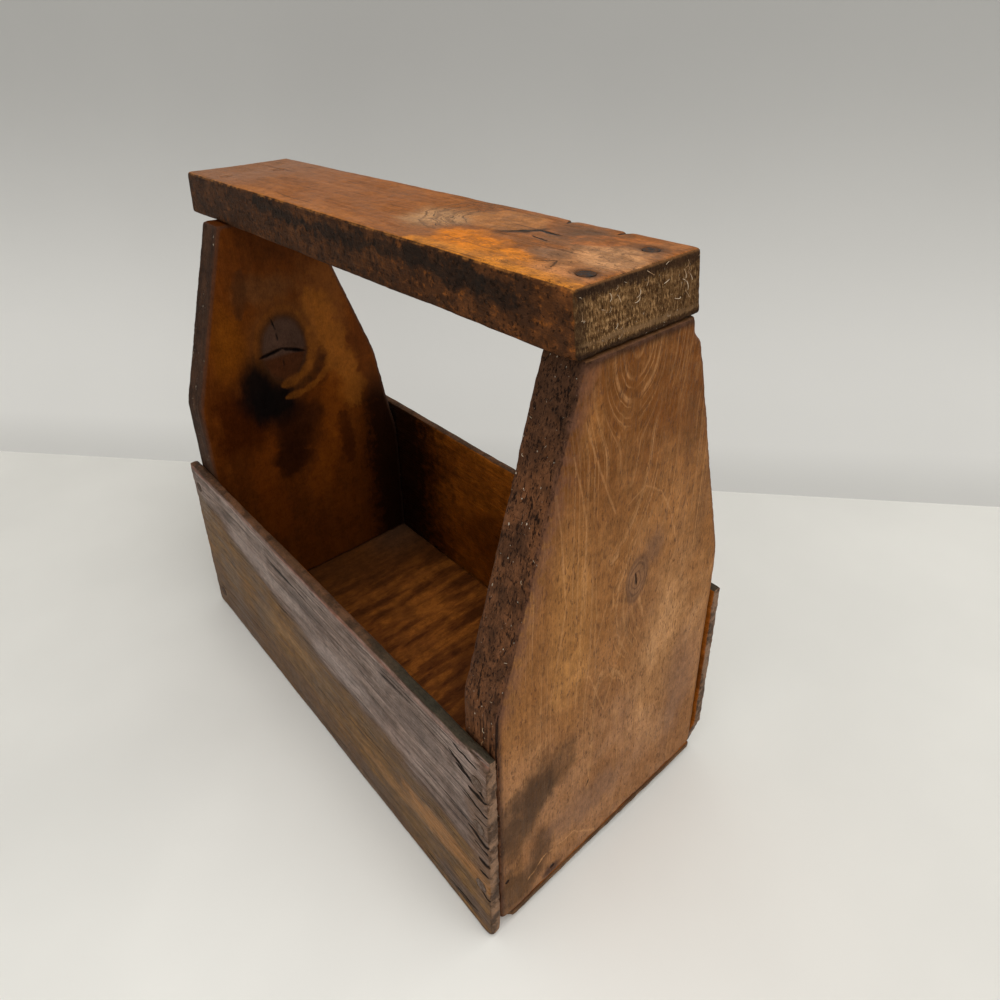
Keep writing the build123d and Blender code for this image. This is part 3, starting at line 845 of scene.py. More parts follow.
def right_end_finish():
    f = Finish("right_end_wood", "along z", seed=7.0, base=BARE_WOOD, specular=0.03)
    outer, front, back = f.facing(0, 1), f.facing(1, -1), f.facing(1, 1)
    inner, top = f.facing(0, -1), f.facing(2, 1)
    face = Face(f, 0, NEAR_FACE, outer)
    # the tree's rings, pushed aside by the knot
    knot = f.use(KNOT, Centre=f.at(212, 10.5, 211), Half_Length=15.0, Half_Width=8.5,
                 Ragged=0.55)
    swerve = f.use(KNOT, Centre=f.at(212, 12, 200), Half_Length=52.0, Half_Width=24.0,
                   Bend=17.0, Spread=1.05, Ragged=0.2)
    depth = f.remap(f.along, 300.0, 362.0, 25.0, 4.0)
    depth = f.math("ADD", depth, f.math("SUBTRACT", 212.75, f.through))
    heart = f.math("ADD", f.across, 3.0)
    rings = f.use(GROWTH_RINGS, Across=heart, Depth=depth, Ring_Width=7.0, Wander=7.0,
                  Push=swerve["Push"], Crowd=0.010)
    fine = f.use(GROWTH_RINGS, Across=heart, Depth=depth, Ring_Width=2.6, Wander=7.0,
                 Push=swerve["Push"], Crowd=0.004)
    # broad tones: bare and pale below, thick dark varnish above
    f.lay(f.streak, (0.405, 0.185, 0.062), 0.55)
    f.lay(rings["Tone"], (0.205, 0.084, 0.026), 0.55)
    f.lay(f.remap(f.along, 185.0, 100.0), (0.335, 0.168, 0.084), 0.6)
    face.stain((46, 146), (42, 92), (0.52, 0.268, 0.114), 0.85)
    face.stain((-42, 205), (20, 80), (0.47, 0.215, 0.062), 0.75)
    f.stain((212, 14, 196), (30, 25, 52), (0.285, 0.135, 0.058), 0.7, ragged=0.4)
    f.lay(f.remap(f.along, 250.0, 318.0), (0.138, 0.042, 0.0065), 0.95)
    f.lay(f.cloud, (0.180, 0.070, 0.020), 0.50)
    face.stain((49, 292), (12, 32), (0.135, 0.052, 0.015), 0.6)
    face.stain((68, 236), (9, 40), (0.150, 0.066, 0.026), 0.6)
    face.stain((-32, 322), (12, 18), (0.290, 0.115, 0.030), 0.6)
    # ring lines and pores, then the pale lines that stand out one by one
    f.lay(fine["Line"], (0.47, 0.235, 0.090), 0.50)
    f.lay(rings["Line"], PALE_LINE, f.remap(f.along, 235.0, 320.0, 0.72, 0.48))
    f.lay(f.both(rings["Band"], f.hair), (0.170, 0.070, 0.023), 0.40)
    f.lay(f.pore, PORE, 0.75)
    f.lay(f.both(f.hair, f.blotch), (0.42, 0.200, 0.070), 0.22)
    for path in ([(-37, 327), (-29, 306), (-20, 284), (-12, 266)],
                 [(-3, 266), (12, 272), (26, 262), (37, 243), (46, 217)],
                 [(-44, 312), (-37, 288), (-33, 267), (-34, 211), (-34, 179), (-36, 141)],
                 [(-55, 300), (-51, 272), (-46, 226), (-54, 169)],
                 [(-25, 163), (-11, 126), (-2, 156), (6, 180)],
                 [(-14, 209), (-21, 182), (-20, 157)]):
        face.stroke(path, 0.7, PALE_LINE, 0.30, 1.4)
    # the knot, and the grey cloud above it
    f.lay(f.both(knot["Core"], outer), (0.215, 0.105, 0.050), 0.75)
    f.lay(f.both(knot["Core"], knot["Rings"], outer), (0.085, 0.040, 0.022), 0.60)
    f.lay(f.both(knot["Rim"], outer), (0.110, 0.050, 0.025), 0.65)
    face.stain((24, 226), (12, 14), (0.150, 0.074, 0.040), 0.6)
    # the smoky stain across the lower left corner, and dirt round the nails
    face.stroke([(-44, 117), (-62, 104), (-92, 84)], 21.0, SMOKE, 0.48, 22.0)
    face.stain((-66, 100), (24, 24), SMOKE, 0.70, ragged=0.7)
    face.stain((-86, 82), (20, 36), SMOKE, 0.70, ragged=0.7)
    face.stain((-62, 44), (13, 30), (0.090, 0.040, 0.016), 0.85, ragged=0.8)
    face.stain((-82, 28), (16, 30), (0.085, 0.040, 0.016), 0.85, ragged=0.8)
    face.stain((-16, 56), (46, 20), (0.190, 0.098, 0.056), 0.6, ragged=0.8)
    face.stain((66, 92), (20, 60), (0.200, 0.100, 0.056), 0.6)
    face.stain((-51, 17), (11, 7), (0.07, 0.032, 0.020), 0.9)
    # a painted sheen, dull purple-brown, along the slanted front edge, and dark lines in the joints
    slope = f.math("MULTIPLY_ADD", f.along, FRONT_EDGE_LEAN, FRONT_EDGE_FOOT)
    in_front = f.math("ADD", f.across, slope)
    sheen = f.both(f.remap(in_front, 11.0, 1.0), f.remap(f.along, 165.0, 185.0),
                   f.remap(f.mottle, 0.15, 0.6))
    f.lay(f.both(sheen, outer), (0.140, 0.062, 0.038), 0.5)
    f.lay(f.both(outer, f.remap(f.along, 350.0, 355.5)), JOINT_DIRT_AND_SHADE, 0.85)
    f.lay(f.both(outer, f.remap(f.across, -89.5, -92.5)), JOINT_DIRT_AND_SHADE, 0.75)
    # the sawn edges: dark, dirty and furrowed along the grain
    edge = f.math("MAXIMUM", front, back)
    f.lay(edge, (0.125, 0.048, 0.019), 0.97)
    f.lay(f.both(edge, f.streak), (0.052, 0.023, 0.012), 0.7)
    f.lay(f.both(edge, f.hair), (0.190, 0.080, 0.036), 0.52)
    # darker towards the top, near the handle
    f.lay(f.both(edge, f.remap(f.along, 285.0, 340.0)), (0.046, 0.022, 0.012), 0.75)
    f.lay(f.both(edge, f.blotch), (0.034, 0.016, 0.009), 0.55)
    f.lay(f.both(edge, f.pore), (0.010, 0.005, 0.004), 0.85)
    f.lay(f.both(edge, f.crease), (0.012, 0.006, 0.004), 0.85)
    f.lay(inner, (0.130, 0.040, 0.008), 0.75)
    f.lay(top, (0.10, 0.050, 0.022), 0.7)
    f.lay(f.both(f.broad, f.mottle), PURPLE_BROWN, 0.85)
    f.lay(f.both(edge, f.speck), PALE_FIBRE, 0.8)
    # a pale scratch, nail holes and small splits, then the relief
    f.stroke([(213, -72, 28), (213, -58, 37), (213, -33, 34), (213, -6, 9), (213, 12, 13)],
             0.9, PALE_LINE, 0.6, wander=5.0)
    f.cracks([((213, -53, 20), (213, -49, 18), 3.2), ((213, -89, 43), (213, -87, 46), 3.0),
              ((213, -22.5, 67), (213, -20.5, 73), 1.5), ((213, 9, 217), (213, 11, 205), 1.2)],
             (0.018, 0.008, 0.005), deep=0.9, wander=1.6)
    f.raise_by(f.hair, 0.10)
    f.raise_by(rings["Line"], 0.08)
    f.raise_by(f.pore, -0.16)
    f.raise_by(f.both(edge, f.pit), -0.6)
    f.raise_by(f.both(edge, f.crease), -0.5)
    f.raise_by(f.both(edge, f.check), -0.7)
    f.lay(f.both(edge, f.check), (0.012, 0.006, 0.004), 0.85)
    f.polish(f.cloud, 0.58)
    f.polish(edge, 0.56)
    return f.close(mottle=0.42)


RIGHT_END = right_end_finish()
print("near end board finish:", len(RIGHT_END.node_tree.nodes), "nodes")

# %% [markdown]
# ## The far end board
#
# Its inner face is seen deep in the shade of the handle: dark amber under thick varnish,
# with a large grey knot that has cracked across, a black stain below it, and golden wood
# curling round both. Nothing here is straight: varnish has run down over the figure.

# %% Far end board finish
GOLD = (0.255, 0.080, 0.010)
AMBER = (0.115, 0.027, 0.0025)
DEEP_SHADE = (0.010, 0.0035, 0.0015)
BLACK_STAIN = (0.005, 0.0035, 0.003)
FAR_FACE = -148.2
FAR_CRACK_LEVEL = -147.5


def left_end_finish():
    f = Finish("left_end_wood", "along z", seed=23.0, base=AMBER, specular=0.03)
    inner, outer = f.facing(0, 1), f.facing(0, -1)
    edge = f.math("MAXIMUM", f.facing(1, -1), f.facing(1, 1))
    face = Face(f, 0, FAR_FACE, inner)
    knot = f.use(KNOT, Centre=f.at(-148, -13, 246), Half_Length=30.0, Half_Width=21.0,
                 Bend=26.0, Spread=1.9, Ragged=0.12)
    rings = f.use(GROWTH_RINGS, Across=f.math("ADD", f.across, 12.0),
                  Depth=f.math("ADD", f.through, 190.0), Ring_Width=9.0, Wander=24.0,
                  Push=knot["Push"], Crowd=0.004)
    # amber varnish, and the gold that runs down beside the knot
    f.lay(f.streak, (0.165, 0.046, 0.0065), 0.35)
    f.lay(f.both(f.hair, inner), (0.20, 0.060, 0.009), 0.15)
    f.lay(rings["Tone"], (0.070, 0.018, 0.003), 0.45)
    f.lay(f.cloud, (0.062, 0.015, 0.0025), 0.5)
    face.stain((30, 285), (30, 50), (0.190, 0.062, 0.012), 0.6)
    face.stain((-60, 262), (18, 42), (0.150, 0.041, 0.003), 0.85)
    face.stain((-20, 300), (32, 16), (0.125, 0.047, 0.014), 0.7)
    face.stroke([(17, 285), (28, 256), (35, 231), (44, 203), (50, 178)],
                15.0, GOLD, 0.8, 14.0)
    face.stroke([(30, 205), (24, 150), (11, 125), (0, 96)], 13.0, (0.185, 0.046, 0.004), 0.6,
                16.0)
    face.stroke([(-44, 170), (-50, 120), (-40, 70)], 14.0, (0.150, 0.034, 0.003), 0.5, 16.0)
    # rings of varnish round the knot
    near_knot = f.remap(knot["Distance"], 1.0, 1.9, 1.0, 0.0)
    f.lay(f.both(near_knot, inner), (0.150, 0.052, 0.010), 0.6)
    swirl = f.remap(f.math("SINE", f.math("MULTIPLY", knot["Distance"], 15.0)), 0.1, 0.9)
    f.lay(f.both(swirl, inner, near_knot), (0.085, 0.028, 0.007), 0.55)
    # dark runs, and the black stain below the knot
    face.stroke([(-40, 318), (-46, 284)], 6.0, (0.045, 0.017, 0.006), 0.55, 9.0)
    face.stain((-62, 190), (34, 44), (0.040, 0.008, 0.001), 0.92)
    face.stroke([(-10, 185), (-18, 150), (-24, 132)], 19.0, (0.026, 0.007, 0.002), 0.9, 10.0)
    face.stain((4, 178), (18, 14), (0.040, 0.011, 0.003), 0.8)
    face.stain((-40, 216), (26, 36), BLACK_STAIN, 0.98, ragged=0.35)
    face.stain((-27, 200), (30, 30), BLACK_STAIN, 0.98, ragged=0.35)
    face.stroke([(34, 166), (38, 118)], 8.0, (0.036, 0.008, 0.002), 0.65, 14.0)
    # painted shade: the far corner of the tray is all but black
    corner = f.both(inner, f.remap(f.math("MULTIPLY_ADD", f.mottle, 22.0, f.across),
                                   52.0, 84.0), f.remap(f.along, 215.0, 165.0))
    f.lay(corner, DEEP_SHADE, 0.95)
    # the knot: grey above its crack, redder below, with curls of gold on its right
    f.lay(f.both(knot["Core"], inner), (0.072, 0.038, 0.025), 0.94)
    f.lay(f.both(knot["Core"], inner, f.remap(f.across, -28.0, -2.0)), (0.060, 0.030, 0.019), 0.5)
    lower = f.both(knot["Core"], inner, f.remap(f.along, 243.0, 238.0))
    f.lay(lower, (0.062, 0.018, 0.005), 0.9)
    f.lay(f.both(knot["Rim"], inner), (0.040, 0.015, 0.005), 0.6)
    for path, width, colour in (
            ([(-18, 213), (0, 217), (10, 226), (14, 240), (12, 258)], 5.0, GOLD),
            ([(-4, 209), (7, 211), (15, 217), (21, 227), (21, 236)], 6.0, (0.040, 0.014, 0.005)),
            ([(-17, 201), (0, 202), (14, 207), (25, 217), (30, 230), (29, 248)], 3.4, GOLD)):
        face.stroke(path, width, colour, 0.42, 3.0)
    # the outer face, which the photograph doesn't show, is bare like the near end board
    f.lay(outer, (0.23, 0.105, 0.042), 0.9)
    for mask, colour, strength in (
            (rings["Line"], (0.34, 0.17, 0.08), 0.5), (f.streak, (0.150, 0.068, 0.030), 0.6),
            (f.both(rings["Band"], f.hair), (0.120, 0.050, 0.020), 0.6), (f.pore, PORE, 0.6),
            (knot["Core"], (0.110, 0.048, 0.022), 0.85),
            (f.both(knot["Core"], knot["Rings"]), (0.050, 0.023, 0.012), 0.6),
            (knot["Rim"], (0.055, 0.024, 0.011), 0.7), (f.cloud, (0.125, 0.062, 0.034), 0.55)):
        f.lay(f.both(outer, mask), colour, strength)
    # edges and arrises
    f.lay(edge, (0.055, 0.026, 0.014), 0.97)
    f.lay(f.both(edge, f.streak), (0.030, 0.015, 0.009), 0.7)
    f.lay(f.both(edge, f.blotch), (0.024, 0.012, 0.008), 0.6)
    f.lay(f.broad, (0.058, 0.028, 0.017), 0.6)
    f.lay(f.both(edge, f.speck), PALE_FIBRE, 0.6)
    f.lay(f.both(outer, f.remap(f.along, 351.0, 355.5)), JOINT_DIRT_AND_SHADE, 0.8)
    # the knot has cracked across, and up and down from there; then the relief
    level = FAR_CRACK_LEVEL
    f.cracks([((level, *start), (level, *end), width) for start, end, width in (
        ((-37, 243), (-12, 247), 3.6), ((-16, 247), (8, 238), 3.8),
        ((-14, 243), (-16, 219), 2.0), ((-22, 279), (-17, 262), 2.0),
        ((-18, 264), (-17, 252), 2.0))], (0.003, 0.0015, 0.001), deep=1.2, wander=1.2)
    f.raise_by(f.hair, 0.05)
    f.raise_by(knot["Core"], 0.5)
    f.raise_by(f.both(edge, f.pit), -0.5)
    f.raise_by(f.both(edge, f.check), -0.5)
    f.polish(inner, 0.36)
    f.polish(edge, 0.6)
    return f.close(mottle=0.42)


LEFT_END = left_end_finish()
print("far end board finish:", len(LEFT_END.node_tree.nodes), "nodes")

# %% [markdown]
# ## The handle
#
# The top has been gripped for years: the varnish is rubbed to a warm shine, glowing orange
# before a big cracked knot near the right end. Its front is dark and dirty, and the sawn
# right end is rough end grain, with pits, saw lines and pale torn fibres.

# %% Handle finish
CRACK_BLACK = (0.006, 0.004, 0.003)
RUBBED_VARNISH = (0.255, 0.080, 0.016)
HANDLE_TOP = 389.2
HANDLE_FRONT = -43.5


def handle_finish():
    f = Finish("handle_wood", "along x", seed=41.0, base=RUBBED_VARNISH, specular=0.03)
    top, front, back = f.facing(2, 1), f.facing(1, -1), f.facing(1, 1)
    under = f.facing(2, -1)
    ends = f.math("MAXIMUM", f.facing(0, 1), f.facing(0, -1))

    on_top, in_front = Face(f, 2, HANDLE_TOP, top, 20.0), Face(f, 1, HANDLE_FRONT, front)
    knot = f.use(KNOT, Centre=f.at(101, 19, 388), Half_Length=27.0, Half_Width=20.0,
                 Bend=26.0, Spread=2.0, Ragged=0.45)
    rings = f.use(GROWTH_RINGS, Across=f.math("SUBTRACT", f.across, 24.0),
                  Depth=f.math("SUBTRACT", 402.0, f.through), Ring_Width=5.4,
                  Wander=12.0, Push=knot["Push"])
    # the figure of the whole board, and a greyer tan at the left end of its top, partly dull
    # varnish and partly painted reflection
    f.lay(f.streak, (0.33, 0.108, 0.022), 0.6)
    f.lay(rings["Tone"], (0.185, 0.058, 0.014), 0.5)
    f.lay(rings["Line"], (0.120, 0.040, 0.013), 0.6)
    f.lay(f.hair, (0.38, 0.138, 0.034), 0.42)
    f.lay(f.both(top, f.crease), (0.085, 0.032, 0.011), 0.45)
    f.lay(f.both(top, f.remap(f.along, -60.0, -200.0)), (0.230, 0.105, 0.050), 0.7)
    # the big knot on the top, with an olive patch and ripples on its left
    on_top.stain((66, 0), (30, 26), (0.430, 0.225, 0.096), 0.90, ragged=0.5)
    f.lay(f.both(top, knot["Core"]), (0.375, 0.150, 0.042), 0.80)
    f.lay(f.both(top, knot["Core"], knot["Rings"]), (0.270, 0.100, 0.028), 0.35)
    around = f.both(top, f.remap(knot["Distance"], 0.95, 1.1), f.remap(knot["Distance"], 2.6, 1.8),
                    f.remap(f.along, 100.0, 78.0))
    f.lay(f.both(around, knot["Rings"]), (0.170, 0.080, 0.036), 0.65)
    # the rubbed orange before the knot, and the patches towards the right end
    on_top.stroke([(98, -19), (118, -23), (142, -27), (160, -31)], 15.0,
                  (0.62, 0.180, 0.008), 0.95, 12.0)
    on_top.stain((150, -32), (40, 14), (0.58, 0.190, 0.016), 0.7, ragged=0.6)
    on_top.stain((188, -30), (26, 12), (0.50, 0.205, 0.072), 0.8)
    on_top.stain((188, 2), (28, 26), (0.54, 0.268, 0.115), 0.85)
    on_top.stain((162, -10), (18, 10), (0.25, 0.128, 0.066), 0.8, ragged=0.7)
    on_top.stain((152, 28), (26, 13), (0.100, 0.046, 0.020), 0.85, ragged=0.8)
    on_top.stain((196, 36), (18, 9), (0.34, 0.130, 0.040), 0.7)
    on_top.stain((150, 6), (20, 9), (0.180, 0.075, 0.028), 0.7, ragged=0.8)
    # a pale line along the front arris, partly rubbed varnish and partly painted highlight, two
    # reddish veins, and dirt round the nail heads
    for path, width, colour, strength, wander in (
            ([(-120, -39), (-40, -38), (40, -38)], 6.0, (0.36, 0.125, 0.028), 0.6, 4.0),
            ([(90, -40), (130, -40), (170, -39), (208, -40)], 6.0, (0.62, 0.220, 0.026), 0.7, 6.0),
            ([(152, 20), (168, 30), (190, 36)], 3.0, (0.42, 0.130, 0.030), 0.6, 4.0),
            ([(160, 8), (178, 20)], 3.0, (0.42, 0.130, 0.030), 0.6, 4.0)):
        on_top.stroke(path, width, colour, strength, wander)
    for nail in ((197.1, -23.6), (193.8, 25.6)):
        on_top.stain(nail, (10, 8), (0.040, 0.019, 0.011), 0.9)
    f.lay(f.both(top, f.blotch, f.remap(f.along, 30.0, 120.0)), (0.130, 0.056, 0.022), 0.5)
    f.lay(f.both(top, f.check), (0.07, 0.028, 0.013), 0.55)
    # front, back and underside: dark and dirty, with rust-brown showing through on the front
    f.lay(front, (0.054, 0.021, 0.0085), 0.98)
    f.lay(back, (0.085, 0.032, 0.012), 0.9)
    f.lay(under, (0.055, 0.022, 0.010), 0.9)
    dull = f.math("MAXIMUM", front, f.math("MAXIMUM", back, under))
    f.lay(f.both(dull, f.hair), (0.125, 0.048, 0.017), 0.50)
    f.lay(f.both(front, f.remap(f.along, 40.0, 190.0)), (0.125, 0.044, 0.014), 0.8)
    f.lay(f.both(dull, f.cloud), (0.034, 0.014, 0.0065), 0.6)
    rust = f.noise(f.vector("MULTIPLY", f.spot, (0.16, 0.30, 0.22)), detail=6.0,
                   roughness=0.72)
    f.lay(f.both(front, f.remap(rust, 0.52, 0.64), f.remap(f.along, 20.0, 150.0, 0.35, 1.0)),
          (0.27, 0.085, 0.016), 0.65)
    for path, width in (([(-90, 384), (-20, 377), (60, 380), (112, 382)], 5.0),
                        ([(116, 380), (150, 378), (172, 375)], 8.0)):
        in_front.stroke(path, width, (0.012, 0.009, 0.007), 0.75, 20.0)
    f.lay(f.both(dull, f.blotch), (0.016, 0.010, 0.007), 0.55)
    f.lay(f.both(front, f.pit), (0.008, 0.005, 0.003), 0.6)
    # the sawn ends: torn pale grain over dark pits, and a dark lip under the top arris
    f.lay(ends, (0.200, 0.102, 0.038), 0.98)
    f.lay(f.both(ends, f.cloud), (0.120, 0.058, 0.022), 0.6)
    f.lay(f.both(ends, f.blotch), (0.075, 0.034, 0.012), 0.7)
    fuzz = f.noise(f.vector("MULTIPLY", f.spot, (0.9, 1.0, 0.36)), detail=4.0, roughness=0.78)
    saw = f.math("SINE", f.math("MULTIPLY", f.through, 1.9))
    saw = f.math("MULTIPLY_ADD", saw, 0.018, fuzz)
    f.lay(f.both(ends, f.remap(saw, 0.52, 0.61)), (0.46, 0.27, 0.118), 0.85)
    f.lay(f.both(ends, f.remap(saw, 0.47, 0.38)), (0.026, 0.012, 0.006), 0.9)
    lip = f.remap(f.math("MULTIPLY_ADD", f.mottle, 4.0, f.through), 384.0, 386.5)
    f.lay(f.both(ends, lip), (0.024, 0.012, 0.008), 0.85)
    f.lay(f.both(ends, f.remap(f.through, 387.2, 388.6)), (0.33, 0.145, 0.050), 0.8)
    f.lay(f.both(ends, f.remap(f.across, -34.0, -41.0)), (0.035, 0.019, 0.011), 0.65)
    f.lay(f.both(ends, f.remap(f.through, 362.0, 359.0)), (0.030, 0.015, 0.009), 0.85)
    f.stroke([(212, -43, 364), (212, 45, 362)], 1.4, (0.28, 0.16, 0.075), 0.7, within=ends)
    # rubbed arrises
    worn_front = f.both(f.rubbed, f.remap(f.across, -36.0, -42.0),
                        f.remap(f.through, 376.0, 386.0))
    f.lay(worn_front, (0.56, 0.22, 0.045), 0.85)
    f.lay(f.both(f.rubbed, f.remap(f.through, 372.0, 360.0)), (0.018, 0.010, 0.006), 0.7)
    f.lay(f.both(ends, f.remap(f.across, -6.0, 30.0)), (0.070, 0.032, 0.012), 0.35)
    f.lay(f.both(ends, f.speck), PALE_FIBRE, 0.6)
    # fine dark crackle round the knot and towards the right end, and the open cracks
    ripple = f.math("SINE", f.math("MULTIPLY", knot["Distance"], 25.0))
    f.lay(f.both(around, f.remap(ripple, 0.90, 0.98), f.remap(f.mottle, 0.35, 0.6)),
          CRACK_BLACK, 0.80)
    f.lay(f.both(top, knot["Rim"], f.remap(f.along, 108.0, 118.0), f.remap(f.across, 26.0, 18.0)),
          CRACK_BLACK, 0.85)
    on_top.stroke([(168, -24), (175, -18), (180, -28)], 0.7, CRACK_BLACK, 0.7, 3.0)
    crackle = f.noise(f.vector("MULTIPLY", f.spot, (0.11, 0.24, 0.2)), detail=3.0)
    vein = f.remap(f.math("ABSOLUTE", f.math("SUBTRACT", crackle, 0.5)), 0.0, 0.016, 1.0, 0.0)
    f.lay(f.both(top, vein, f.remap(f.along, 120.0, 160.0), f.remap(f.across, 20.0, 6.0)),
          (0.030, 0.014, 0.008), 0.75)
    f.lay(f.both(around, vein), (0.030, 0.016, 0.009), 0.75)
    f.cracks([((*start, 389), (*end, 389), width) for start, end, width in (
        ((118, 5), (128, 15), 2.0), ((127, 15), (147, 15), 2.4), ((125, 47), (130, 36), 2.0),
        ((168, 44), (165, 35), 1.8), ((134, 5), (150, 2), 1.4))],
             CRACK_BLACK, deep=1.0, wander=3.5)
    # relief and sheen
    f.raise_by(f.both(ends, saw), 2.0)
    f.raise_by(f.hair, 0.08)
    f.raise_by(f.both(dull, f.blotch), -0.30)
    f.raise_by(f.both(dull, f.pit), -0.50)
    f.raise_by(f.both(top, f.check), -0.2)
    f.polish(top, 0.34)
    f.polish(f.both(top, f.cloud), 0.45)
    f.polish(ends, 0.72)
    f.polish(dull, 0.5)
    return f.close(mottle=0.50)


HANDLE = handle_finish()
print("handle finish:", len(HANDLE.node_tree.nodes), "nodes")

# %% [markdown]
# ## The side boards
#
# The front board is thin and has weathered to a purple-grey, whose silvery look is partly a
# painted reflection, with olive and orange brown below, where the varnish has lasted. Long
# hair cracks follow its grain. Inside, both side boards are dark amber, as the rest of the
# tray is, with painted shade that makes them nearly black in the far corner.

# %% Side board finishes
# weathered purple-grey; its silvery look is partly a painted reflection
WEATHERED_WITH_SHEEN = (0.315, 0.228, 0.186)
OLIVE_BROWN = (0.190, 0.098, 0.026)
TRAY_AMBER = (0.320, 0.086, 0.0068)
FRONT_FACE = -101.0


def side_finish(name, seed, outer_sign):
    f = Finish(name, "side", seed=seed, base=WEATHERED_WITH_SHEEN, specular=0.05)
    outer, inner = f.facing(1, outer_sign), f.facing(1, -outer_sign)
    top, under = f.facing(2, 1), f.facing(2, -1)
    ends = f.math("MAXIMUM", f.facing(0, 1), f.facing(0, -1))
    # level is the height on the board, bent by slow waves: above 98 mm bare, below varnished
    wave = f.noise(f.vector("MULTIPLY", f.spot, (0.010, 0.035, 0.035)), detail=4.0)
    level = f.math("MULTIPLY_ADD", wave, 75.0, f.math("SUBTRACT", f.across, 37.5))
    level = f.math("MULTIPLY_ADD", f.along, 0.13, level)
    rings = f.use(GROWTH_RINGS, Across=f.math("SUBTRACT", f.across, 95.0), Depth=26.0,
                  Ring_Width=5.2, Wander=16.0)
    f.lay(f.streak, (0.165, 0.112, 0.088), 0.7)
    # pale silvery clouds, partly weathering and partly painted reflection
    f.lay(f.cloud, (0.370, 0.280, 0.236), 0.55)
    f.lay(rings["Tone"], (0.150, 0.096, 0.072), 0.35)
    f.lay(f.both(f.blotch, f.streak), (0.085, 0.052, 0.038), 0.6)
    below = f.remap(level, 98.0, 84.0)
    f.lay(below, OLIVE_BROWN, 0.95)
    f.lay(f.both(below, f.streak), (0.275, 0.125, 0.028), 0.65)
    f.lay(f.both(below, f.cloud), (0.125, 0.068, 0.026), 0.65)
    f.lay(f.both(below, rings["Line"]), (0.095, 0.048, 0.022), 0.6)
    f.lay(f.both(below, f.blotch), (0.090, 0.050, 0.026), 0.4)
    f.lay(f.remap(level, 34.0, 20.0), (0.105, 0.060, 0.036), 0.6)
    seam = f.remap(f.math("ABSOLUTE", f.math("SUBTRACT", level, 93.0)), 0.0, 10.0, 1.0, 0.0)
    f.lay(f.both(seam, f.mottle), (0.070, 0.032, 0.020), 0.8)
    # fine hair cracks everywhere, and deeper creases high up and near the right end
    f.lay(f.hair, (0.070, 0.040, 0.027), 0.66)
    f.lay(f.check, (0.022, 0.012, 0.009), 0.9)
    high = f.both(outer, f.remap(f.math("MULTIPLY_ADD", wave, 60.0, f.across), 118.0, 160.0))
    creases = f.math("MAXIMUM", f.both(f.crease, high),
                     f.both(f.crease, outer, f.remap(f.along, 90.0, 200.0)))
    f.lay(creases, (0.026, 0.014, 0.011), 0.85)
    f.raise_by(creases, -0.6)
    red = f.remap(f.math("ABSOLUTE", f.math("SUBTRACT", f.across, 151.5)), 0.0, 3.2, 1.0, 0.0)
    f.lay(f.both(outer, red, f.streak), (0.250, 0.075, 0.036), 0.8)
    # the inner face, with painted shade deepening towards the far end
    f.lay(inner, TRAY_AMBER, 0.98)
    f.lay(f.both(inner, f.streak), (0.27, 0.082, 0.008), 0.4)
    f.lay(f.both(inner, f.cloud), (0.115, 0.027, 0.0024), 0.7)
    f.lay(f.both(inner, rings["Line"]), (0.085, 0.020, 0.0018), 0.5)
    f.lay(f.both(inner, f.blotch), (0.090, 0.022, 0.002), 0.4)
    reach = f.math("MULTIPLY_ADD", f.mottle, 34.0, f.along)
    f.lay(f.both(inner, f.remap(reach, -34.0, -104.0)), DEEP_SHADE, 0.96)
    # top edge, ends and underside
    f.lay(top, (0.130, 0.055, 0.024), 0.95)
    f.lay(f.both(top, f.streak), (0.062, 0.036, 0.020), 0.7)
    f.lay(f.both(top, f.blotch), (0.030, 0.019, 0.012), 0.6)
    f.lay(f.both(top, f.remap(f.along, 60.0, 150.0)), (0.040, 0.036, 0.024), 0.85)
    f.lay(ends, (0.230, 0.130, 0.074), 0.9)
    f.lay(f.both(ends, f.blotch), (0.045, 0.024, 0.014), 0.85)
    f.lay(under, (0.11, 0.075, 0.055), 0.7)
    f.lay(f.both(outer, f.rubbed), (0.085, 0.050, 0.034), 0.7)
    f.lay(f.both(outer, f.speck), (0.34, 0.27, 0.22), 0.5)
    f.raise_by(f.hair, -0.2)
    f.raise_by(f.both(f.check, outer), -0.9)
    f.raise_by(f.both(ends, f.blotch), -0.7)
    f.raise_by(f.both(top, f.blotch), -0.4)
    f.raise_by(rings["Line"], 0.10)
    f.polish(outer, 0.48)
    f.polish(f.both(outer, f.cloud), 0.36)
    f.polish(inner, 0.38)
    return f


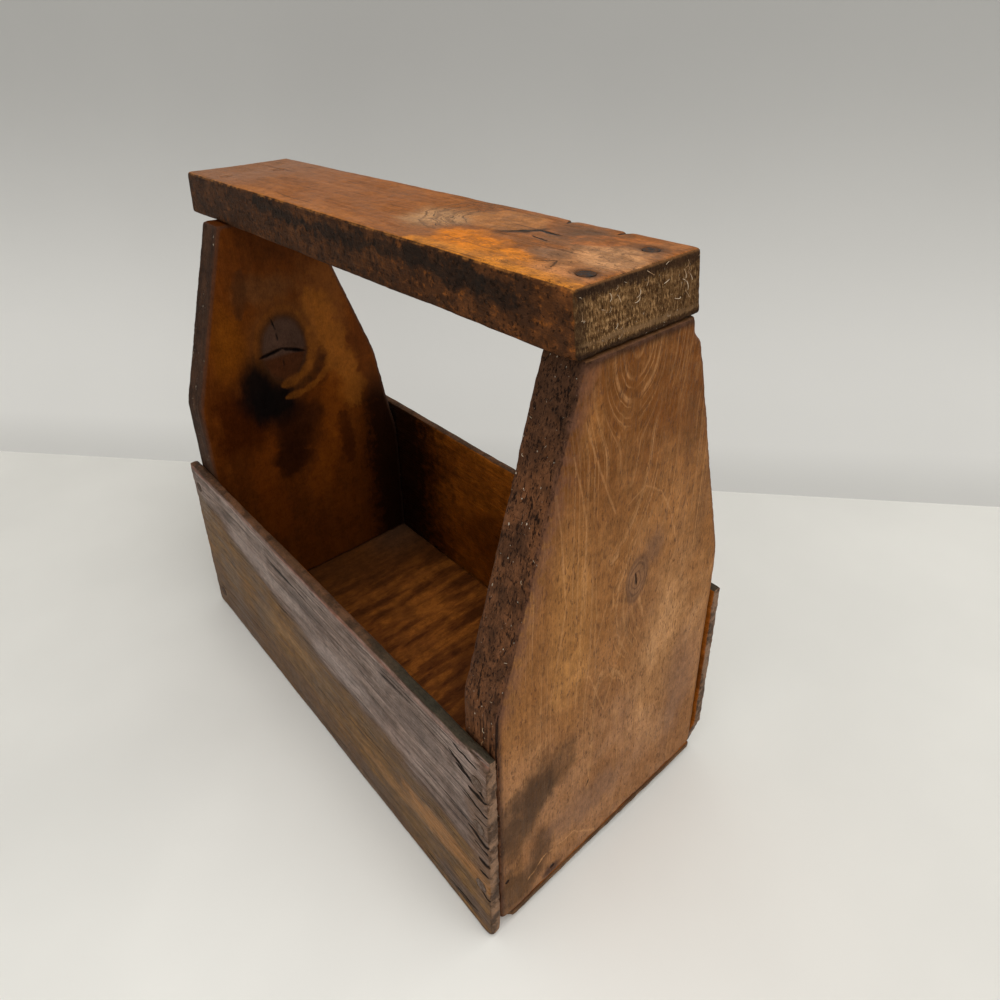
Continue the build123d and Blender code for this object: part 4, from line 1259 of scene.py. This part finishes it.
def front_side_finish():
    f = side_finish("front_side_wood", 57.0, -1)
    face = Face(f, 1, FRONT_FACE, f.facing(1, -1), 20.0)
    # dark streaks of weather above, and pale streaks that are partly weathering and partly painted
    # highlight; orange-brown varnish below
    for place, size, colour, strength in (
            ((206, 80), (14, 80), (0.156, 0.084, 0.047), 0.7),
            ((-111, 135), (22, 7), (0.095, 0.064, 0.050), 0.7),
            ((-172, 100), (12, 40), (0.150, 0.092, 0.052), 0.7),
            ((15, 126), (50, 8), (0.100, 0.066, 0.052), 0.8),
            ((94, 107), (36, 7), (0.100, 0.066, 0.050), 0.8),
            ((150, 125), (34, 14), (0.160, 0.116, 0.096), 0.7),
            ((-80, 118), (60, 11), (0.310, 0.235, 0.200), 0.6),
            ((-20, 112), (50, 9), (0.310, 0.240, 0.205), 0.6),
            ((60, 100), (50, 11), (0.320, 0.245, 0.212), 0.65),
            ((125, 92), (36, 9), (0.300, 0.215, 0.178), 0.6),
            ((170, 50), (54, 15), (0.290, 0.132, 0.042), 0.85),
            ((120, 40), (60, 9), (0.250, 0.125, 0.046), 0.7),
            ((-20, 66), (70, 9), (0.240, 0.135, 0.056), 0.6),
            ((185, 16), (36, 11), (0.090, 0.056, 0.040), 0.8)):
        face.stain(place, size, colour, strength, ragged=0.9)
    # the splits that run in from the right end
    f.cracks([(face.at(start), face.at(end), width) for start, end, width in (
        ((180, 139), (199, 132), 2.0), ((186, 134), (212, 127), 2.6), ((196, 124), (214, 124), 3.4),
        ((182, 147), (206, 145), 1.4), ((190, 117), (214, 113), 1.6), ((195, 91), (214, 86), 3.6),
        ((199, 82), (213, 80), 2.2), ((202, 70), (214, 69), 3.4), ((203, 60), (213, 60), 2.0),
        ((200, 106), (212, 106), 1.2), ((178, 11), (200, 13), 2.0), ((203, 40), (213, 38), 2.0))],
             (0.010, 0.005, 0.003), deep=1.6, wander=3.0)
    return f.close(mottle=0.52)


def back_side_finish():
    f = side_finish("back_side_wood", 73.0, 1)
    f.cracks([((150, 101, 120), (214, 101, 124), 1.2), ((-180, 101, 60), (-120, 101, 62), 1.0),
              ((160, 101, 40), (214, 101, 37), 1.0)],
             (0.016, 0.008, 0.006), deep=1.0)
    return f.close(mottle=0.45)


FRONT_SIDE, BACK_SIDE = front_side_finish(), back_side_finish()
print("side board finishes:", len(FRONT_SIDE.node_tree.nodes), "nodes")

# %% [markdown]
# ## The plywood bottom
#
# The face veneer of plywood is peeled off the log in one long sheet, so its figure is wide
# and wavy, with no straight lines. Its grain runs across the tote. The edge shows the thin
# crossed layers, and the underside is the same veneer, dull and scuffed.

# %% Bottom finish
VENEER = (0.215, 0.064, 0.012)
PLY_LAYER = 2.17                      # thickness of one of the three veneers
FLOOR_LEVEL = 11.0


def bottom_finish():
    f = Finish("bottom_ply", "along y", seed=91.0, base=VENEER, specular=0.04)
    top, under = f.facing(2, 1), f.facing(2, -1)
    rim = f.math("SUBTRACT", 1.0, f.math("MAXIMUM", top, under))
    bands = f.use(GROWTH_RINGS, Across=f.math("MULTIPLY", f.across, 0.42), Depth=30.0,
                  Ring_Width=7.0, Wander=26.0)
    f.lay(f.streak, (0.31, 0.100, 0.018), 0.5)
    f.lay(bands["Band"], (0.100, 0.029, 0.0065), 0.60)
    figure = f.noise(f.vector("MULTIPLY", f.spot, (0.020, 0.085, 0.085)), detail=6.0,
                     roughness=0.62)
    f.lay(f.remap(figure, 0.48, 0.60), (0.36, 0.115, 0.018), 0.75)
    f.lay(f.remap(figure, 0.50, 0.38), (0.062, 0.018, 0.005), 0.80)
    f.lay(f.cloud, (0.085, 0.026, 0.007), 0.55)
    f.lay(f.blotch, (0.110, 0.034, 0.008), 0.35)
    # painted shade: the tray floor darkens towards the far end
    f.lay(f.both(top, f.remap(f.across, -30.0, -125.0)), (0.060, 0.020, 0.0055), 0.78)
    f.lay(f.both(top, f.remap(f.across, -88.0, -145.0), f.remap(f.along, 20.0, 85.0)),
          (0.085, 0.046, 0.026), 0.55)
    # the underside, then the rim with its crossed layers
    f.lay(under, (0.26, 0.165, 0.088), 0.9)
    f.lay(f.both(under, bands["Line"]), (0.17, 0.10, 0.05), 0.5)
    f.lay(f.both(under, f.blotch), (0.12, 0.075, 0.045), 0.5)
    f.lay(f.both(under, f.hair), (0.33, 0.22, 0.13), 0.3)
    f.lay(rim, (0.150, 0.078, 0.036), 0.95)
    layer = f.math("FRACT", f.math("DIVIDE", f.math("SUBTRACT", f.through, FLOOR_LEVEL),
                                   2.0 * PLY_LAYER))
    f.lay(f.both(rim, f.remap(layer, 0.45, 0.5)), (0.080, 0.040, 0.020), 0.6)
    # painted shade: a dark line along the top of the rim, where it meets the boards
    f.lay(f.both(rim, f.remap(f.through, 9.4, 10.4)), JOINT_DIRT_AND_SHADE, 0.9)
    f.lay(f.both(rim, f.blotch), (0.050, 0.026, 0.014), 0.6)
    f.raise_by(f.hair, 0.05)
    f.raise_by(f.both(rim, f.remap(layer, 0.45, 0.5)), 0.3)
    f.raise_by(f.both(under, f.check), -0.4)
    f.polish(top, 0.34)
    f.polish(under, 0.7)
    f.polish(rim, 0.65)
    return f.close(mottle=0.42)


BOTTOM = bottom_finish()
print("bottom finish:", len(BOTTOM.node_tree.nodes), "nodes")

# %% [markdown]
# ## Nails
#
# The cut heads are old iron: nearly black, with brown rust in blotches. Those in the far end
# of the handle and most of those in the side boards have taken the colour of the varnish
# and the dirt around them. The CAD nails are the right shape, so they stay, and only get
# this material.

# %% Nail finish
def nail_finish(name, iron, rust_colour, metal):
    material, f, shader = new_material(name, specular=0.15)
    place = f.vector("SCALE", f.put("ShaderNodeTexCoord").outputs["Object"], scale=1.0 / MM)
    rust = f.remap(f.noise(place, scale=0.5, detail=4.0, roughness=0.65), 0.42, 0.58)
    pits = f.noise(place, scale=1.6, detail=3.0)
    colour = f.mix(rust, iron, rust_colour)
    colour = f.mix(f.remap(pits, 0.55, 0.7), colour, f.vector("SCALE", colour, scale=0.5))
    f.join(colour, shader.inputs["Base Color"])
    f.join(f.remap(rust, 0.0, 1.0, 0.5, 0.8), shader.inputs["Roughness"])
    f.join(f.remap(rust, 0.0, 1.0, metal, 0.0), shader.inputs["Metallic"])
    f.join(f.bump(f.math("MULTIPLY", pits, 0.5), 0.6), shader.inputs["Normal"])
    return material


BARE_IRON = nail_finish("old_iron", (0.016, 0.010, 0.008), (0.085, 0.038, 0.018), 0.3)
STAINED_IRON = nail_finish("stained_iron", (0.135, 0.088, 0.062), (0.095, 0.056, 0.036), 0.0)
VARNISHED_IRON = nail_finish("varnished_iron", (0.225, 0.095, 0.042), (0.19, 0.080, 0.034), 0.0)
NAIL_FINISHES = {"handle_nails_left": VARNISHED_IRON, "front_nails_right": STAINED_IRON,
                 "back_nails_left": STAINED_IRON, "back_nails_right": STAINED_IRON}
for title, node in frame["nodes"].items():
    if "nails" not in title:
        continue
    finish = NAIL_FINISHES.get(title, BARE_IRON)
    if not node.material_slots:
        node.data.materials.append(finish)
    for holder in node.material_slots:
        holder.material = finish
print("nails finished")

# %% [markdown]
# ## Making the boards
#
# Each board is remeshed, worn and given its finish. "Along" squeezes the noise of the
# wearing tree along the grain, in patches per metre, so that soft wood wears into long
# hollows. The handle is the most dented, the far end board has lost most at its edges, and
# the grain stands out most on the side boards.

# %% Boards
ALONG_X = (9.0, 300.0, 300.0)
ALONG_Y = (300.0, 9.0, 300.0)
ALONG_Z = (300.0, 300.0, 9.0)
BOARDS = {}
# node, slot, finish, voxel, along, seed, and what edges, dents and grain ridges lose in metres
for node, slot, finish, voxel, along, seed, edge_loss, dent, ridge in (
        ("handle_board", "handle_wood", HANDLE, 1.2, ALONG_X, 1.3, 0.0009, 0.0005, 0.0002),
        ("right_end_board", "right_end_wood", RIGHT_END, 1.3, ALONG_Z, 2.7,
         0.0009, 0.0003, 0.0002),
        ("left_end_board", "left_end_wood", LEFT_END, 1.3, ALONG_Z, 3.9,
         0.0011, 0.0004, 0.0002),
        ("front_side_board", "front_side_wood", FRONT_SIDE, 1.3, ALONG_X, 4.1,
         0.0008, 0.0003, 0.0004),
        ("back_side_board", "back_side_wood", BACK_SIDE, 1.4, ALONG_X, 5.5,
         0.0009, 0.0003, 0.0004),
        ("bottom_sheet", "bottom_ply", BOTTOM, 2.0, ALONG_Y, 6.2, 0.0004, 0.0002, 0.0001)):
    BOARDS[node] = make_board(node, slot, finish, voxel, along, seed,
                              Edge_Loss=edge_loss, Dent=dent, Ridge=ridge)

# %% [markdown]
# ## Splinters and fluff
#
# Where a saw has torn the wood, fine pale fibres stand up and catch the light: on the sawn
# right end of the handle and on the front edge of the near end board. A Geometry Nodes tree
# scatters points over one side of a board and puts a thin bent fibre on each.

# %% Splinters
PATCHES_PER_METRE = 120.0             # splinters stand in patches, where the saw tore most
FACING_LEAST = 0.8
BOW_MIDDLE = (0.6, 0.0, 0.34)         # shares of the length: each splinter bows up and over
BOW_END = (0.9, 0.35, 0.0)
BOW_FOOT = (0.0, 0.0, -0.0002)
LEAST_TURN = (0.0, -0.3, 0.0)
MOST_TURN = (0.0, 0.0, 6.283)
SHORTEST = 0.35


def splinter_shape(graph, length, thickness):
    """One bent fibre with four sides and closed ends."""
    middle, end = (graph.combine(*(graph.math("MULTIPLY", length, share) for share in shares))
                   for shares in (BOW_MIDDLE, BOW_END))
    bow = graph.wire("GeometryNodeCurveQuadraticBezier", {
        "Resolution": 5, "Start": BOW_FOOT, "Middle": middle, "End": end})
    ring = graph.wire("GeometryNodeCurvePrimitiveCircle", {
        "Resolution": 4, "Radius": graph.math("MULTIPLY", thickness, 0.5)})
    return graph.wire("GeometryNodeCurveToMesh", {
        "Curve": bow, "Profile Curve": ring, "Fill Caps": True})


def splinter_tree():
    graph, given, result = new_group("splinters", "GeometryNodeTree", [
        ("Board", "geometry", None), ("Facing", "vector", (1.0, 0.0, 0.0)),
        ("Middle", "vector", (0.0, 0.0, 0.0)), ("Half Size", "vector", (1.0, 1.0, 1.0)),
        ("Density", "float", 20000.0), ("Length", "float", 0.004),
        ("Thickness", "float", 0.0003), ("Seed", "int", 1), ("Finish", "material", None),
    ], [("Splinters", "geometry")])
    place = graph.put("GeometryNodeInputPosition").outputs[0]
    normal = graph.put("GeometryNodeInputNormal").outputs[0]
    away = graph.vector("DIVIDE", graph.vector("SUBTRACT", place, given["Middle"]),
                        given["Half Size"])
    away = graph.split(graph.vector("ABSOLUTE", away))
    far = graph.math("MAXIMUM", away[0], graph.math("MAXIMUM", away[1], away[2]))
    patchy = graph.remap(graph.noise(place, PATCHES_PER_METRE, 2.0), 0.42, 0.6)
    toward = graph.vector("DOT_PRODUCT", normal, given["Facing"])
    chosen = graph.math("MULTIPLY", graph.math("LESS_THAN", far, 1.0),
                        graph.math("GREATER_THAN", toward, FACING_LEAST))
    density = graph.math("MULTIPLY", graph.math("MULTIPLY", chosen, patchy), given["Density"])
    points = graph.put("GeometryNodeDistributePointsOnFaces")
    for title, value in (("Mesh", given["Board"]), ("Density", density),
                         ("Seed", given["Seed"])):
        graph.join(value, points.inputs[title])
    spin = graph.wire("FunctionNodeRandomValue", {
        "Min": LEAST_TURN, "Max": MOST_TURN, "Seed": given["Seed"]}, data_type="FLOAT_VECTOR")
    turn = graph.wire("FunctionNodeRotateRotation", {
        "Rotation": points.outputs["Rotation"], "Rotate By": spin}, rotation_space="LOCAL")
    size = graph.wire("FunctionNodeRandomValue", {"Seed": given["Seed"]}, 1, data_type="FLOAT")
    size = graph.remap(size, 0.0, 1.0, SHORTEST, 1.0)
    shape = splinter_shape(graph, given["Length"], given["Thickness"])
    placed = graph.wire("GeometryNodeInstanceOnPoints", {
        "Points": points.outputs["Points"], "Instance": shape, "Rotation": turn,
        "Scale": graph.combine(size, size, size)})
    graph.join(realised(graph, placed, given["Finish"]), result["Splinters"])
    return graph.tree


SPLINTERS = splinter_tree()
print("splinter tree:", len(SPLINTERS.nodes), "nodes")

# %% [markdown]
# The fibres are dry and pale, and a little darker where varnish has soaked into them.

# %% Placing the splinters
SPLINTER_THICKNESS = 0.34             # millimetres
DRY_FIBRE = (0.66, 0.52, 0.36)
SOAKED_FIBRE = (0.30, 0.17, 0.08)


def splinter_finish():
    material, graph, shader = new_material("pale_fibre", specular=0.1)
    shader.inputs["Roughness"].default_value = 0.75
    place = graph.put("ShaderNodeTexCoord").outputs["Object"]
    soaked = graph.remap(graph.noise(place, scale=90.0, detail=2.0), 0.42, 0.60)
    graph.join(graph.mix(soaked, DRY_FIBRE, SOAKED_FIBRE), shader.inputs["Base Color"])
    return material


def make_splinters(name, board, facing, middle, half_size, density, length, seed):
    """Scatter fibres over a part of one side of a worn board; places are in millimetres."""
    holder = add_object(name, board.data.copy())
    run_tree(holder, SPLINTERS, Facing=facing, Middle=tuple(value * MM for value in middle),
             Half_Size=tuple(value * MM for value in half_size), Density=density,
             Length=length * MM, Thickness=SPLINTER_THICKNESS * MM, Seed=seed,
             Finish=FIBRE_FINISH)
    mesh = finished_mesh(holder, name)
    piece = add_object(name, mesh)
    if not mesh.materials:
        mesh.materials.append(FIBRE_FINISH)
    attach(piece, BODY)
    print(name, "faces", len(mesh.polygons))


FIBRE_FINISH = splinter_finish()
make_splinters("handle_end_splinters", BOARDS["handle_board"],
               facing=(1.0, 0.0, 0.0), middle=(212, 1, 374), half_size=(6, 42, 14),
               density=42000.0, length=4.6, seed=5)
make_splinters("edge_splinters", BOARDS["right_end_board"],
               facing=(0.0, -1.0, 0.3), middle=(200, -60, 250), half_size=(16, 40, 105),
               density=2600.0, length=3.4, seed=8)
